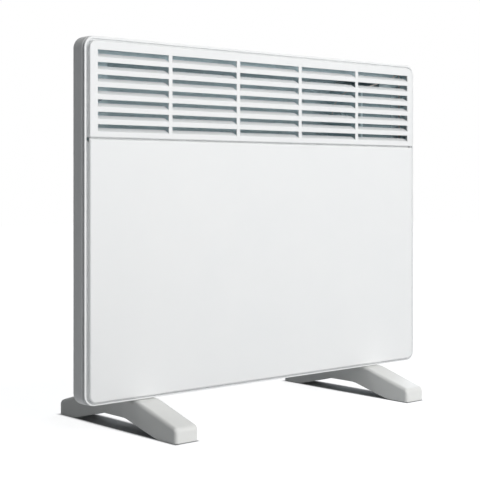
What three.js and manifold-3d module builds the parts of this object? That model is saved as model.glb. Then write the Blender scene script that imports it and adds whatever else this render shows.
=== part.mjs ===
// Electric panel convector heater standing on two cross feet. Millimetres, +Z up, front towards -Y.
// The origin is on the floor, midway between the two feet and midway along them.

import * as THREE from 'three';
import { mergeVertices } from 'three/addons/utils/BufferGeometryUtils.js';
import Module from 'manifold-3d';

const wasm = await Module();
wasm.setup();

// Sheet, gaps and casing. Casing coordinates: x from the middle, y behind the rim plane of the
// front frame, z above the bottom of the casing.
const SHEET = 1.2;
const THIN_SHEET = 0.8;
const GAP = 0.3;
const CASING_WIDTH = 595;
const CASING_HEIGHT = 445;
const CASING_CORNER = 19;
const CASING_DEPTH = 85;
const CORNER_STEPS = 5;

// Front frame: a flat bright rim, a shadow groove, and a ledge that the two front panels sit on.
const RIM_WIDTH = 3.3;
const RIM_THICKNESS = 2;
const GROOVE_DEPTH = 3;
const LEDGE_INSET = 13;
const SKIRT_DEPTH = 12;

// Rear tray: the 25 mm deep outer wall of the casing, with a rolled front edge.
const TRAY_FRONT = 4.2;
const TRAY_BACK = 25.1;
const TRAY_HEM = 2.2;
const TRAY_EDGE = 3;
const WINDOW_HALF_WIDTH = 247;
const WINDOW_BOTTOM = 14;
const WINDOW_TOP = 421;

// Raised front panels: the louvred outlet above and the plain panel below, with a seam between.
const PANEL_INSET = 6.3;
const PANEL_CORNER = 12.7;
const PANEL_FACE = -2.9;
const PANEL_BOTTOM = PANEL_INSET;
const PANEL_TOP = CASING_HEIGHT - PANEL_INSET;
const SEAM_BOTTOM = 320.8;
const SEAM_TOP = 322.6;
const SEAM_CORNER = 1.2;
const GRILLE_EDGE = 1.6;
const PANEL_EDGE = 2.4;
const CROSSBAR_REACH = 9;

// Louvres: slots in a grid, each with a blade that rises inwards from its lower lip.
const COLUMNS = 5;
const ROWS = 7;
const SLOT_WIDTH = 107.3;
const SLOT_HEIGHT = 9;
const PILLAR = 5.7;
const ROW_PITCH = 14.95;
const FIRST_SLOT_TOP = CASING_HEIGHT - 16.7;
const BLADE_TILT = THREE.MathUtils.degToRad(22);
const BLADE_LENGTH = 10.6;
const BLADE_SHEET = 1.1;
const BLADE_BEND = 1.6;
const BLADE_CORNER = 2;
const BLADE_RELIEF = 0.2;

// Rear box: the deeper casing behind the tray, with the heating chamber inside.
const BOX_WIDTH = 505;
const BOX_TOP = 430;
const BOX_CORNER = 8;
const BOX_EDGE = 6;
const BOX_FLANGE = 12;
const BOX_FRONT = TRAY_BACK + GAP;
const FIELD_INSET = 36;
const FIELD_DROP = 2.4;
const INLET_COLUMNS = 12;
const INLET_PITCH = 29;
const INLET_LENGTH = 23;
const INLET_WIDTH = 8;
const INLET_DEPTHS = [42, 58];
const KEYHOLE_SPACING = 300;
const KEYHOLE_HEIGHTS = [95, 305];
const KEYHOLE_RADIUS = 5.5;
const KEYHOLE_NECK = 5.6;
const KEYHOLE_RISE = 12;
const BACK_SCREW_X = 258.5;
const BACK_SCREW_HEIGHTS = [60, 215, 370];
const TOP_SCREW_X = 120;
const TOP_SCREW_Z = 436;
const SCREW_HOLE = 2;
const BACK_SCREW = [3.6, 2, 1.6, 8.5]; // head radius, head height, shank radius, length

// Inner sheets.
const SHIELD_FACE = 12.4;
const SHIELD_FOLD = 268;
const SHIELD_FLANGE = 282;
const SHIELD_BOTTOM = 22;
const SHIELD_TOP = 300;
const PARTITION_X = 196;
const PARTITION_FRONT = 14.4;
const PARTITION_LIP = 4.2;
const PARTITION_TOP = 404;
const COVER_EDGE = 264;
const COVER_NOTCH = [306, 314];
const DEFLECTOR_LOW = 392;
const LEAD_PASS_LOW = [33, 13];
const LEAD_PASS_HIGH = [52, 78];
const CUTOUT_Y = 52;
const CUTOUT_Z = 366;

// Heating element: an extruded aluminium star with ribbed arms, held by two brackets.
const ELEMENT_Y = 52;
const ELEMENT_Z = 70;
const ELEMENT_LEFT = -215;
const ELEMENT_RIGHT = 160;
const ELEMENT_ARM = 25;
const ELEMENT_CORE = 6;
const ELEMENT_ENDS = 11;
const ELEMENT_RIBS = [[13, 5], [22, 4.5]];
const BRACKET_HALF = 22;
const BRACKET_HEIGHT = 94;
const BRACKET_OFFSET = 5;

// Controls on the right-hand wall of the rear box.
const WALL_X = BOX_WIDTH / 2;
const CONTROL_Y = 53.5;
const CONTROL_WIDTH = 45;
const CONTROL_BOTTOM = 168;
const CONTROL_TOP = 332;
const CONTROL_THICKNESS = 2.5;
const KNOB_Z = 300;
const KNOB_RADIUS = 18;
const KNOB_LENGTH = 17;
const FLUTES = 10;
const SHAFT_RADIUS = 3;
const SHAFT_FLAT = 1.8;
const NECK_RADIUS = 4.8;
const NECK_HOLE = 5.2;
const BODY_HALF = 17;
const SWITCH_HEIGHTS = { upper: 242, lower: 204 };
const SWITCH_BODY = [12.8, 18.8];
const SWITCH_BEZEL = [15.4, 21.6];
const SWITCH_WELL = [10.4, 16.8];
const ROCKER_TILT = THREE.MathUtils.degToRad(11);
const ROCKER_PIVOT = WALL_X - 1.5;
const BUSH_Y = 58;
const BUSH_Z = 40;
const BUSH_RADIUS = 6;
const BUSH_BORE = 3.6;
const BLOCK_Y = 46;
const POLE_PITCH = 9;

// Feet, in floor coordinates: y along the foot, z above the floor.
const FLOOR_CLEARANCE = 41.5;
const FOOT_X = 205.5;
const FOOT_LENGTH = 252.5;
const FOOT_WIDTH = 36;
const FOOT_WALL = 2.4;
const FOOT_FLAT = 44;
const FOOT_END_HEIGHT = 17.4;
const FOOT_EDGE = 5;
const ARCH_START = 94.5;
const ARCH_FLAT = 24;
const ARCH_HEIGHT = 18.4;
const PAD_LENGTH = 26;
const PAD_THICKNESS = 3.4;
const PAD_PROUD = 1;
const FOOT_SCREW_DEPTHS = { front: 14.5, rear: 65 };
const FOOT_SCREW_HOLE = 1.95;
const FOOT_SCREW_WELL = 4.8;
const FOOT_SCREW_SEAT = 36;
const FOOT_SCREW = [4.2, 2.4, 1.6, 12]; // head radius, head height, shank radius, length
const RIM_PLANE = -44.25;

// ---- Solids -------------------------------------------------------------------------------------

function signedVolume(geometry) {
  const position = geometry.getAttribute('position');
  const index = geometry.index;
  const corners = [new THREE.Vector3(), new THREE.Vector3(), new THREE.Vector3()];
  let volume = 0;
  for (let i = 0; i < index.count; i += 3) {
    corners.forEach((corner, k) => corner.fromBufferAttribute(position, index.getX(i + k)));
    volume += corners[0].dot(corners[1].clone().cross(corners[2])) / 6;
  }
  return volume;
}

// A geometry with merged corners and its faces pointing out.
function tidied(geometry) {
  const bare = new THREE.BufferGeometry();
  bare.setAttribute('position', geometry.getAttribute('position'));
  bare.setIndex(geometry.index);
  const merged = mergeVertices(bare);
  if (signedVolume(merged) < 0) {
    merged.setIndex(Array.from(merged.index.array).reverse());
  }
  return merged;
}

function toSolid(geometry) {
  const merged = tidied(geometry);
  return new wasm.Manifold(new wasm.Mesh({
    numProp: 3,
    vertProperties: new Float32Array(merged.getAttribute('position').array),
    triVerts: new Uint32Array(merged.index.array),
  }));
}

function toGeometry(solid) {
  const mesh = solid.getMesh();
  const geometry = new THREE.BufferGeometry();
  geometry.setAttribute('position', new THREE.BufferAttribute(mesh.vertProperties, 3));
  geometry.setIndex(new THREE.BufferAttribute(mesh.triVerts, 1));
  return geometry;
}

function join(...geometries) {
  return toGeometry(geometries.map(toSolid).reduce((whole, piece) => whole.add(piece)));
}

function cut(geometry, ...tools) {
  return toGeometry(tools.map(toSolid).reduce((rest, tool) => rest.subtract(tool), toSolid(geometry)));
}

function overlap(geometry, other) {
  return toGeometry(toSolid(geometry).intersect(toSolid(other)));
}

// A closed skin over a row of rings that all have the same number of points. The row either closes
// on itself, or ends in two flat convex caps.
function loft(rings, closed = false) {
  const count = rings[0].length;
  const positions = rings.flat(2);
  const indices = [];
  const last = closed ? rings.length : rings.length - 1;
  for (let k = 0; k < last; k += 1) {
    const a = k * count;
    const b = ((k + 1) % rings.length) * count;
    for (let i = 0; i < count; i += 1) {
      const j = (i + 1) % count;
      indices.push(a + i, a + j, b + j, a + i, b + j, b + i);
    }
  }
  if (!closed) {
    const end = (rings.length - 1) * count;
    for (let i = 1; i < count - 1; i += 1) {
      indices.push(0, i + 1, i, end, end + i, end + i + 1);
    }
  }
  const geometry = new THREE.BufferGeometry();
  geometry.setAttribute('position', new THREE.Float32BufferAttribute(positions, 3));
  geometry.setIndex(indices);
  return tidied(geometry);
}

// Points of an arc from one angle to another, in degrees.
function arc(centreU, centreV, radius, from, to, steps) {
  return Array.from({ length: steps + 1 }, (_, i) => {
    const angle = THREE.MathUtils.degToRad(from + ((to - from) * i) / steps);
    return [centreU + radius * Math.cos(angle), centreV + radius * Math.sin(angle)];
  });
}

// A rounded rectangle as points, with its own radius for the lower and the upper corners.
function roundedRectangle({ left, right, bottom, top, lowRadius, highRadius, steps }) {
  return [
    ...arc(right - lowRadius, bottom + lowRadius, lowRadius, -90, 0, steps),
    ...arc(right - highRadius, top - highRadius, highRadius, 0, 90, steps),
    ...arc(left + highRadius, top - highRadius, highRadius, 90, 180, steps),
    ...arc(left + lowRadius, bottom + lowRadius, lowRadius, 180, 270, steps),
  ];
}

// An upright rounded outline, swept along a section of [inset, depth] points.
function sweep(outline, section, closed = false) {
  const smallest = 0.4;
  const rings = section.map(([inset, depth]) => roundedRectangle({
    left: -outline.width / 2 + inset,
    right: outline.width / 2 - inset,
    bottom: outline.bottom + inset,
    top: outline.top - inset,
    lowRadius: Math.max(outline.lowRadius - inset, smallest),
    highRadius: Math.max(outline.highRadius - inset, smallest),
    steps: outline.steps,
  }).map(([x, z]) => [x, depth, z]));
  return loft(rings, closed);
}

// A flat outline pushed along one axis. The outline's own axes follow in the order X, Y, Z, X.
const AXES = {
  x: [[0, 1, 0], [0, 0, 1], [1, 0, 0]],
  y: [[0, 0, 1], [1, 0, 0], [0, 1, 0]],
  z: [[1, 0, 0], [0, 1, 0], [0, 0, 1]],
};

function prism(points, axis, from, to) {
  const shape = new THREE.Shape(points.map(([u, v]) => new THREE.Vector2(u, v)));
  const geometry = new THREE.ExtrudeGeometry(shape, { depth: to - from, bevelEnabled: false });
  geometry.translate(0, 0, from);
  const [u, v, w] = AXES[axis].map((direction) => new THREE.Vector3(...direction));
  geometry.applyMatrix4(new THREE.Matrix4().makeBasis(u, v, w));
  return indexed(geometry);
}

function indexed(geometry) {
  if (!geometry.index) {
    geometry.setIndex(Array.from({ length: geometry.getAttribute('position').count }, (_, i) => i));
  }
  return geometry;
}

function block(x0, x1, y0, y1, z0, z1) {
  const geometry = new THREE.BoxGeometry(x1 - x0, y1 - y0, z1 - z0);
  return geometry.translate((x0 + x1) / 2, (y0 + y1) / 2, (z0 + z1) / 2);
}

// A round bar along an axis; centre gives the two other coordinates in the order of AXES.
function rod(axis, centre, radius, from, to, sides = 16) {
  const circle = arc(centre[0], centre[1], radius, 0, 360, sides).slice(0, sides);
  return prism(circle, axis, from, to);
}

// A turned piece from [distance along the axis, radius] points, starting and ending on the axis.
function turned(axis, centre, profile, sides) {
  const rings = profile.map(([along, radius]) => (
    arc(centre[0], centre[1], Math.max(radius, 0.02), 0, 360, sides).slice(0, sides)
      .map(([u, v]) => ({ x: [along, u, v], y: [v, along, u], z: [u, v, along] }[axis]))
  ));
  return loft(rings);
}

// The outline of a bent sheet: a path with the sheet's thickness on its left-hand side.
function bentSheet(path, thickness) {
  const normals = path.slice(1).map(([u, v], i) => {
    const length = Math.hypot(u - path[i][0], v - path[i][1]);
    return [-(v - path[i][1]) / length, (u - path[i][0]) / length];
  });
  const offset = path.map(([u, v], i) => {
    const before = normals[Math.max(i - 1, 0)];
    const after = normals[Math.min(i, normals.length - 1)];
    const scale = thickness / (1 + before[0] * after[0] + before[1] * after[1]);
    return [u + (before[0] + after[0]) * scale, v + (before[1] + after[1]) * scale];
  });
  return [...path, ...offset.reverse()];
}

// A round wire or tube along hand-chosen points.
function wire(points, radius, steps, sides = 6) {
  const path = new THREE.CatmullRomCurve3(points.map((point) => new THREE.Vector3(...point)));
  const circle = arc(0, 0, radius, 0, 360, sides).slice(0, sides);
  const shape = new THREE.Shape(circle.map(([u, v]) => new THREE.Vector2(u, v)));
  return indexed(new THREE.ExtrudeGeometry(shape, { steps, extrudePath: path }));
}

// ---- Front --------------------------------------------------------------------------------------

const casingOutline = {
  width: CASING_WIDTH,
  bottom: 0,
  top: CASING_HEIGHT,
  lowRadius: CASING_CORNER,
  highRadius: CASING_CORNER,
  steps: CORNER_STEPS,
};

function frontFrame() {
  const neck = RIM_WIDTH - 1.2;
  const floorBack = GROOVE_DEPTH + 0.9;
  const ledgeBack = GROOVE_DEPTH + 1.4;
  const skirt = RIM_WIDTH + 0.1;
  const ring = sweep(casingOutline, [
    [0.5, 0],
    [RIM_WIDTH, 0],
    [RIM_WIDTH, GROOVE_DEPTH],
    [LEDGE_INSET, GROOVE_DEPTH],
    [LEDGE_INSET, ledgeBack],
    [skirt + 1.5, ledgeBack],
    [skirt + 1.5, SKIRT_DEPTH],
    [skirt, SKIRT_DEPTH],
    [skirt, floorBack],
    [neck, floorBack],
    [neck, RIM_THICKNESS],
    [0.2, RIM_THICKNESS],
    [0, RIM_THICKNESS - 0.3],
    [0, 0.5],
  ], true);
  const reach = CASING_WIDTH / 2 - LEDGE_INSET + 1;
  const seam = (SEAM_BOTTOM + SEAM_TOP) / 2;
  const [low, high] = [seam - CROSSBAR_REACH, seam + CROSSBAR_REACH];
  return join(ring, block(-reach, reach, GROOVE_DEPTH, ledgeBack, low, high));
}

// A shallow pressed pan: flat face, rounded edge and a wall that ends just above the ledge.
function pressedPan(outline, edge) {
  const wallEnd = GROOVE_DEPTH - GAP;
  return sweep(outline, [
    ...arc(edge, PANEL_FACE + edge, edge, -90, -180, 3),
    [0, wallEnd],
    [SHEET, wallEnd],
    ...arc(edge, PANEL_FACE + edge, edge - SHEET, -180, -90, 1),
  ]);
}

function frontPanel() {
  const pan = pressedPan({
    width: CASING_WIDTH - 2 * PANEL_INSET,
    bottom: PANEL_BOTTOM,
    top: SEAM_BOTTOM,
    lowRadius: PANEL_CORNER,
    highRadius: SEAM_CORNER,
    steps: CORNER_STEPS,
  }, PANEL_EDGE);
  const edge = CASING_WIDTH / 2 - PANEL_INSET;
  const relief = 3.4;
  const reliefs = [-1, 1].map((side) => (
    block(side * edge - relief, side * edge + relief, PANEL_FACE + 1.9, GROOVE_DEPTH,
      SEAM_BOTTOM - relief, SEAM_BOTTOM + 1)
  ));
  return cut(pan, ...reliefs);
}

// One row of louvre blades as a section: from the strip's face round the bend and up the slope.
function bladeSection(lip) {
  const bendTop = lip - 0.6;
  const root = bendTop - 0.5;
  const degrees = 90 + THREE.MathUtils.radToDeg(BLADE_TILT);
  const centreY = PANEL_FACE + BLADE_BEND;
  const outer = arc(centreY, bendTop, BLADE_BEND, 180, degrees, 2);
  const inner = arc(centreY, bendTop, BLADE_BEND - BLADE_SHEET, degrees, 180, 1);
  const along = [Math.cos(BLADE_TILT) * BLADE_LENGTH, Math.sin(BLADE_TILT) * BLADE_LENGTH];
  const tip = ([y, z]) => [y + along[0], z + along[1]];
  return [
    [PANEL_FACE, root],
    ...outer,
    tip(outer[2]),
    tip(inner[0]),
    ...inner,
    [PANEL_FACE + BLADE_SHEET, root],
  ];
}

// One blade: the section along its slot, with straight ends and round corners at its inner edge.
function louvreBlade(x, lip) {
  const section = bladeSection(lip);
  const plan = roundedRectangle({
    left: x + BLADE_RELIEF,
    right: x + SLOT_WIDTH - BLADE_RELIEF,
    bottom: PANEL_FACE - 1,
    top: Math.max(...section.map(([y]) => y)),
    lowRadius: BLADE_RELIEF,
    highRadius: BLADE_CORNER,
    steps: 2,
  });
  return overlap(prism(section, 'x', x, x + SLOT_WIDTH), prism(plan, 'z', SEAM_TOP, PANEL_TOP));
}

function outletGrille() {
  const pan = pressedPan({
    width: CASING_WIDTH - 2 * PANEL_INSET,
    bottom: SEAM_TOP,
    top: PANEL_TOP,
    lowRadius: SEAM_CORNER,
    highRadius: PANEL_CORNER,
    steps: CORNER_STEPS,
  }, GRILLE_EDGE);
  const pitch = SLOT_WIDTH + PILLAR;
  const left = -(COLUMNS * SLOT_WIDTH + (COLUMNS - 1) * PILLAR) / 2;
  const slots = [];
  const blades = [];
  for (let row = 0; row < ROWS; row += 1) {
    const top = FIRST_SLOT_TOP - row * ROW_PITCH;
    const lip = top - SLOT_HEIGHT;
    for (let column = 0; column < COLUMNS; column += 1) {
      const x = left + column * pitch;
      slots.push(block(x, x + SLOT_WIDTH, PANEL_FACE - 1, PANEL_FACE + 2, lip - 0.6, top));
      blades.push(louvreBlade(x, lip));
    }
  }
  return join(cut(pan, ...slots), ...blades);
}

// ---- Casing behind the front --------------------------------------------------------------------

const backScrewPlaces = [
  ...[-1, 1].flatMap((side) => BACK_SCREW_HEIGHTS.map((z) => [side * BACK_SCREW_X, z])),
  ...[-1, 1].map((side) => [side * TOP_SCREW_X, TOP_SCREW_Z]),
];

function footScrewHole(side, depth) {
  return rod('z', [side * FOOT_X, depth], FOOT_SCREW_HOLE, -2, 4, 8);
}

function rearTray() {
  const centre = TRAY_FRONT + TRAY_HEM;
  const flat = TRAY_BACK - TRAY_EDGE;
  const shell = sweep(casingOutline, [
    ...arc(TRAY_EDGE, flat, TRAY_EDGE, 90, 180, 2),
    ...arc(TRAY_HEM, centre, TRAY_HEM, 180, 270, 2),
    [3, TRAY_FRONT],
    [3, TRAY_FRONT + SHEET],
    ...arc(TRAY_HEM, centre, TRAY_HEM - SHEET, 270, 180, 1),
    ...arc(TRAY_EDGE, flat, TRAY_EDGE - SHEET, 180, 90, 1),
  ]);
  const opening = prism(roundedRectangle({
    left: WINDOW_BOTTOM,
    right: WINDOW_TOP,
    bottom: -WINDOW_HALF_WIDTH,
    top: WINDOW_HALF_WIDTH,
    lowRadius: 6,
    highRadius: 6,
    steps: 2,
  }), 'y', flat, TRAY_BACK + 1);
  const screwHoles = backScrewPlaces.map(([x, z]) => (
    rod('y', [z, x], SCREW_HOLE, flat, TRAY_BACK + 1, 8)
  ));
  const footHoles = [-1, 1].map((side) => footScrewHole(side, FOOT_SCREW_DEPTHS.front));
  return cut(shell, opening, ...screwHoles, ...footHoles);
}

// A long hole with round ends, as points.
function slotOutline(centreU, centreV, length, width) {
  const half = length / 2 - width / 2;
  return [
    ...arc(centreU + half, centreV, width / 2, -90, 90, 2),
    ...arc(centreU - half, centreV, width / 2, 90, 270, 2),
  ];
}

function keyhole(x, z) {
  const neck = KEYHOLE_NECK / 2;
  const neckAngle = THREE.MathUtils.radToDeg(Math.asin(neck / KEYHOLE_RADIUS));
  const outline = [
    ...arc(z, x, KEYHOLE_RADIUS, neckAngle, 360 - neckAngle, 7),
    [z + KEYHOLE_RISE, x - neck],
    [z + KEYHOLE_RISE + neck, x],
    [z + KEYHOLE_RISE, x + neck],
  ];
  return prism(outline, 'y', CASING_DEPTH - 8, CASING_DEPTH + 1);
}

function rearBox() {
  const flangeBack = BOX_FRONT + SHEET;
  const bend = CASING_DEPTH - BOX_EDGE;
  const shell = sweep({
    width: BOX_WIDTH,
    bottom: 0,
    top: BOX_TOP,
    lowRadius: BOX_CORNER,
    highRadius: BOX_CORNER,
    steps: 3,
  }, [
    [FIELD_INSET + 5, CASING_DEPTH - FIELD_DROP],
    [FIELD_INSET, CASING_DEPTH],
    ...arc(BOX_EDGE, bend, BOX_EDGE, 90, 180, 3),
    [0, flangeBack + 1.4],
    [-1.4, flangeBack],
    [-BOX_FLANGE, flangeBack],
    [-BOX_FLANGE, BOX_FRONT],
    [-0.4, BOX_FRONT],
    [SHEET, flangeBack + 0.4],
    ...arc(BOX_EDGE, bend, BOX_EDGE - SHEET, 180, 90, 2),
    [FIELD_INSET - 0.4, CASING_DEPTH - SHEET],
    [FIELD_INSET + 4.6, CASING_DEPTH - SHEET - FIELD_DROP],
  ]);
  const underside = block(-BOX_WIDTH, BOX_WIDTH, BOX_FRONT - 1, flangeBack + 1.5, -BOX_FLANGE - 1, 0);
  const inlets = INLET_DEPTHS.flatMap((depth) => (
    Array.from({ length: INLET_COLUMNS }, (_, i) => {
      const x = (i - (INLET_COLUMNS - 1) / 2) * INLET_PITCH;
      return prism(slotOutline(x, depth, INLET_LENGTH, INLET_WIDTH), 'z', -1, SHEET + 1);
    })
  ));
  const keyholes = KEYHOLE_HEIGHTS.flatMap((z) => (
    [-1, 1].map((side) => keyhole((side * KEYHOLE_SPACING) / 2, z))
  ));
  const screwHoles = backScrewPlaces.map(([x, z]) => (
    rod('y', [z, x], SCREW_HOLE, BOX_FRONT - 1, flangeBack + 1, 8)
  ));
  const footHoles = [-1, 1].map((side) => footScrewHole(side, FOOT_SCREW_DEPTHS.rear));
  return cut(shell, underside, ...inlets, ...keyholes, ...screwHoles, ...footHoles, ...controlHoles());
}

// Holes through the right-hand wall: the thermostat's neck, both switches and the cable bush.
function controlHoles() {
  const inside = WALL_X - 4;
  const outside = WALL_X + 4;
  return [
    rod('x', [CONTROL_Y, KNOB_Z], NECK_HOLE, inside, outside, 12),
    ...Object.values(SWITCH_HEIGHTS).map((z) => switchBlock(SWITCH_BODY, GAP, inside, outside, z)),
    rod('x', [BUSH_Y, BUSH_Z], BUSH_RADIUS + GAP, inside, outside, 12),
  ];
}

function switchBlock([width, height], margin, x0, x1, z) {
  const halfWidth = width / 2 + margin;
  const halfHeight = height / 2 + margin;
  return block(x0, x1, CONTROL_Y - halfWidth, CONTROL_Y + halfWidth, z - halfHeight, z + halfHeight);
}

// ---- Inner sheets -------------------------------------------------------------------------------

// Sheet in front of the heating chamber that keeps the front panel cool; its flanges lie on the tray.
function heatShield() {
  const back = TRAY_BACK - SHEET - GAP;
  const profile = bentSheet([
    [-SHIELD_FLANGE, back - THIN_SHEET],
    [-SHIELD_FOLD, back - THIN_SHEET],
    [-SHIELD_FOLD, SHIELD_FACE],
    [SHIELD_FOLD, SHIELD_FACE],
    [SHIELD_FOLD, back - THIN_SHEET],
    [SHIELD_FLANGE, back - THIN_SHEET],
  ], THIN_SHEET);
  return prism(profile, 'z', SHIELD_BOTTOM, SHIELD_TOP);
}

// Curved sheet that turns the rising warm air forwards to the louvres.
function airDeflector() {
  const top = BOX_TOP - SHEET - GAP - THIN_SHEET;
  const back = CASING_DEPTH - SHEET - FIELD_DROP - GAP - THIN_SHEET;
  const front = TRAY_BACK + 2;
  const steps = 6;
  const curve = Array.from({ length: steps + 1 }, (_, i) => {
    const angle = (Math.PI / 2) * (i / steps);
    return [
      front + 8 + (back - front - 8) * Math.cos(angle),
      DEFLECTOR_LOW + (top - DEFLECTOR_LOW) * Math.sin(angle),
    ];
  });
  const profile = bentSheet([[front, top], ...curve.reverse(), [back, DEFLECTOR_LOW - 12]], THIN_SHEET);
  return prism(profile, 'x', -WALL_X + BOX_CORNER, PARTITION_X - GAP);
}

// Upright sheet between the heating chamber and the control compartment, with a folded front lip.
function controlPartition() {
  const back = CASING_DEPTH - SHEET - FIELD_DROP - GAP;
  const floor = SHEET + GAP;
  const behindTray = TRAY_BACK + 1;
  const chamfer = BOX_EDGE;
  const web = prism([
    [behindTray, floor],
    [back - chamfer, floor],
    [back, floor + chamfer],
    [back, PARTITION_TOP],
    [PARTITION_FRONT, PARTITION_TOP],
    [PARTITION_FRONT, WINDOW_BOTTOM + 1],
    [behindTray, WINDOW_BOTTOM + 1],
  ], 'x', PARTITION_X, PARTITION_X + THIN_SHEET);
  const lip = block(PARTITION_X, PARTITION_X + PARTITION_LIP, PARTITION_FRONT,
    PARTITION_FRONT + THIN_SHEET, WINDOW_BOTTOM + 1, PARTITION_TOP);
  const leadHoles = [LEAD_PASS_LOW, LEAD_PASS_HIGH].map((centre) => (
    rod('x', centre, 2.6, PARTITION_X - 1, PARTITION_X + 2, 8)
  ));
  return cut(join(web, lip), ...leadHoles);
}

// Cover sheet in front of the control compartment, folded back to the tray at its right-hand edge.
function controlCover() {
  const face = PARTITION_FRONT + THIN_SHEET + GAP;
  const profile = bentSheet([
    [PARTITION_X + THIN_SHEET + GAP, face],
    [COVER_EDGE, face],
    [COVER_EDGE, TRAY_BACK - SHEET - GAP],
  ], THIN_SHEET);
  const sheet = prism(profile, 'z', WINDOW_BOTTOM + 2, PARTITION_TOP);
  const notch = block(COVER_EDGE - 3, COVER_EDGE + 3, face + 1.5, TRAY_BACK, ...COVER_NOTCH);
  return cut(sheet, notch);
}

// ---- Heating element ----------------------------------------------------------------------------

// Four diagonal arms with cross ribs around a round core that holds the heating wire.
function heatingElement() {
  const core = rod('x', [ELEMENT_Y, ELEMENT_Z], ELEMENT_CORE, ELEMENT_LEFT, ELEMENT_RIGHT, 12);
  const ends = rod('x', [ELEMENT_Y, ELEMENT_Z], ELEMENT_CORE - 1, ELEMENT_LEFT - ELEMENT_ENDS,
    ELEMENT_RIGHT + ELEMENT_ENDS, 12);
  const arms = [45, 135].map((angle) => bar(-ELEMENT_ARM, ELEMENT_ARM, -1.1, 1.1, angle));
  const ribs = [45, 135, 225, 315].flatMap((angle) => (
    ELEMENT_RIBS.map(([distance, half]) => (
      bar(distance - 0.6, distance + 0.6, -half, half, angle)
    ))
  ));
  const body = join(core, ends, ...arms, ...ribs);
  const bores = [
    rod('x', [ELEMENT_Y, ELEMENT_Z], 2.3, ELEMENT_LEFT - ELEMENT_ENDS - 1, ELEMENT_LEFT - 3, 8),
    rod('x', [ELEMENT_Y, ELEMENT_Z], 2.3, ELEMENT_RIGHT + 3, ELEMENT_RIGHT + ELEMENT_ENDS + 1, 8),
  ];
  return cut(body, ...bores);
}

// A bar along the element, drawn in the element's section and turned about its core.
function bar(u0, u1, v0, v1, degrees) {
  const turn = THREE.MathUtils.degToRad(degrees);
  const corners = [[u0, v0], [u1, v0], [u1, v1], [u0, v1]].map(([u, v]) => [
    ELEMENT_Y + u * Math.cos(turn) - v * Math.sin(turn),
    ELEMENT_Z + u * Math.sin(turn) + v * Math.cos(turn),
  ]);
  return prism(corners, 'x', ELEMENT_LEFT, ELEMENT_RIGHT);
}

// End bracket: an upright plate with a foot on the rear box's floor and a hole for the insulator.
function elementBracket(x, side) {
  const floor = SHEET + GAP;
  const plate = prism(roundedRectangle({
    left: ELEMENT_Y - BRACKET_HALF,
    right: ELEMENT_Y + BRACKET_HALF,
    bottom: floor,
    top: BRACKET_HEIGHT,
    lowRadius: 0.4,
    highRadius: 8,
    steps: 2,
  }), 'x', x, x + SHEET);
  const inner = side < 0 ? x : x + SHEET;
  const foot = block(Math.min(inner, inner + side * 14), Math.max(inner, inner + side * 14),
    ELEMENT_Y - BRACKET_HALF, ELEMENT_Y + BRACKET_HALF, floor, floor + SHEET);
  const hole = rod('x', [ELEMENT_Y, ELEMENT_Z], 9, x - 1, x + SHEET + 1, 16);
  return cut(join(plate, foot), hole);
}

// Ceramic bush with a collar, between the bracket and the end of the element.
function elementInsulator(x, side) {
  const span = (from, to) => [x + side * from, x + side * to].sort((a, b) => a - b);
  const tube = rod('x', [ELEMENT_Y, ELEMENT_Z], 8.6, ...span(1, 13.5), 16);
  const collar = rod('x', [ELEMENT_Y, ELEMENT_Z], 12, ...span(1, 4.6), 16);
  const bore = rod('x', [ELEMENT_Y, ELEMENT_Z], ELEMENT_CORE - 0.6, ...span(0, 15), 12);
  return cut(join(tube, collar), bore);
}

function elementPin(x, side) {
  const [from, to] = [x + side * 3.5, x + side * 19].sort((a, b) => a - b);
  return rod('x', [ELEMENT_Y, ELEMENT_Z], 2, from, to, 8);
}

// Snap-action overheat cut-out on the partition: a flange, a round can and two flat tabs.
function thermalCutout() {
  const face = PARTITION_X - GAP;
  const flange = prism(slotOutline(CUTOUT_Y, CUTOUT_Z, 26, 10), 'x', face - 1, face);
  const can = rod('x', [CUTOUT_Y, CUTOUT_Z], 8, face - 9, face - 0.5, 14);
  const tabs = [CUTOUT_Y - 4, CUTOUT_Y + 4].map((y) => (
    block(face - 16, face - 8, y - 0.4, y + 0.4, CUTOUT_Z - 3, CUTOUT_Z + 3)
  ));
  return join(flange, can, ...tabs);
}

// ---- Controls -----------------------------------------------------------------------------------

// Moulded plate on the outside of the wall, with windows for the thermostat and the switches.
function controlPlate() {
  const inner = WALL_X + GAP;
  const outer = inner + CONTROL_THICKNESS;
  const ring = (inset) => roundedRectangle({
    left: CONTROL_Y - CONTROL_WIDTH / 2 + inset,
    right: CONTROL_Y + CONTROL_WIDTH / 2 - inset,
    bottom: CONTROL_BOTTOM + inset,
    top: CONTROL_TOP - inset,
    lowRadius: 8 - inset,
    highRadius: 8 - inset,
    steps: 4,
  });
  const rings = [[0, inner], [0, outer - 1], [0.3, outer - 0.3], [1, outer]].map(([inset, x]) => (
    ring(inset).map(([y, z]) => [x, y, z])
  ));
  const windows = Object.values(SWITCH_HEIGHTS).map((z) => (
    switchBlock(SWITCH_BODY, GAP, inner - 1, outer + 1, z)
  ));
  const neckHole = rod('x', [CONTROL_Y, KNOB_Z], NECK_HOLE, inner - 1, outer + 1, 12);
  return cut(loft(rings), neckHole, ...windows);
}

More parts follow.
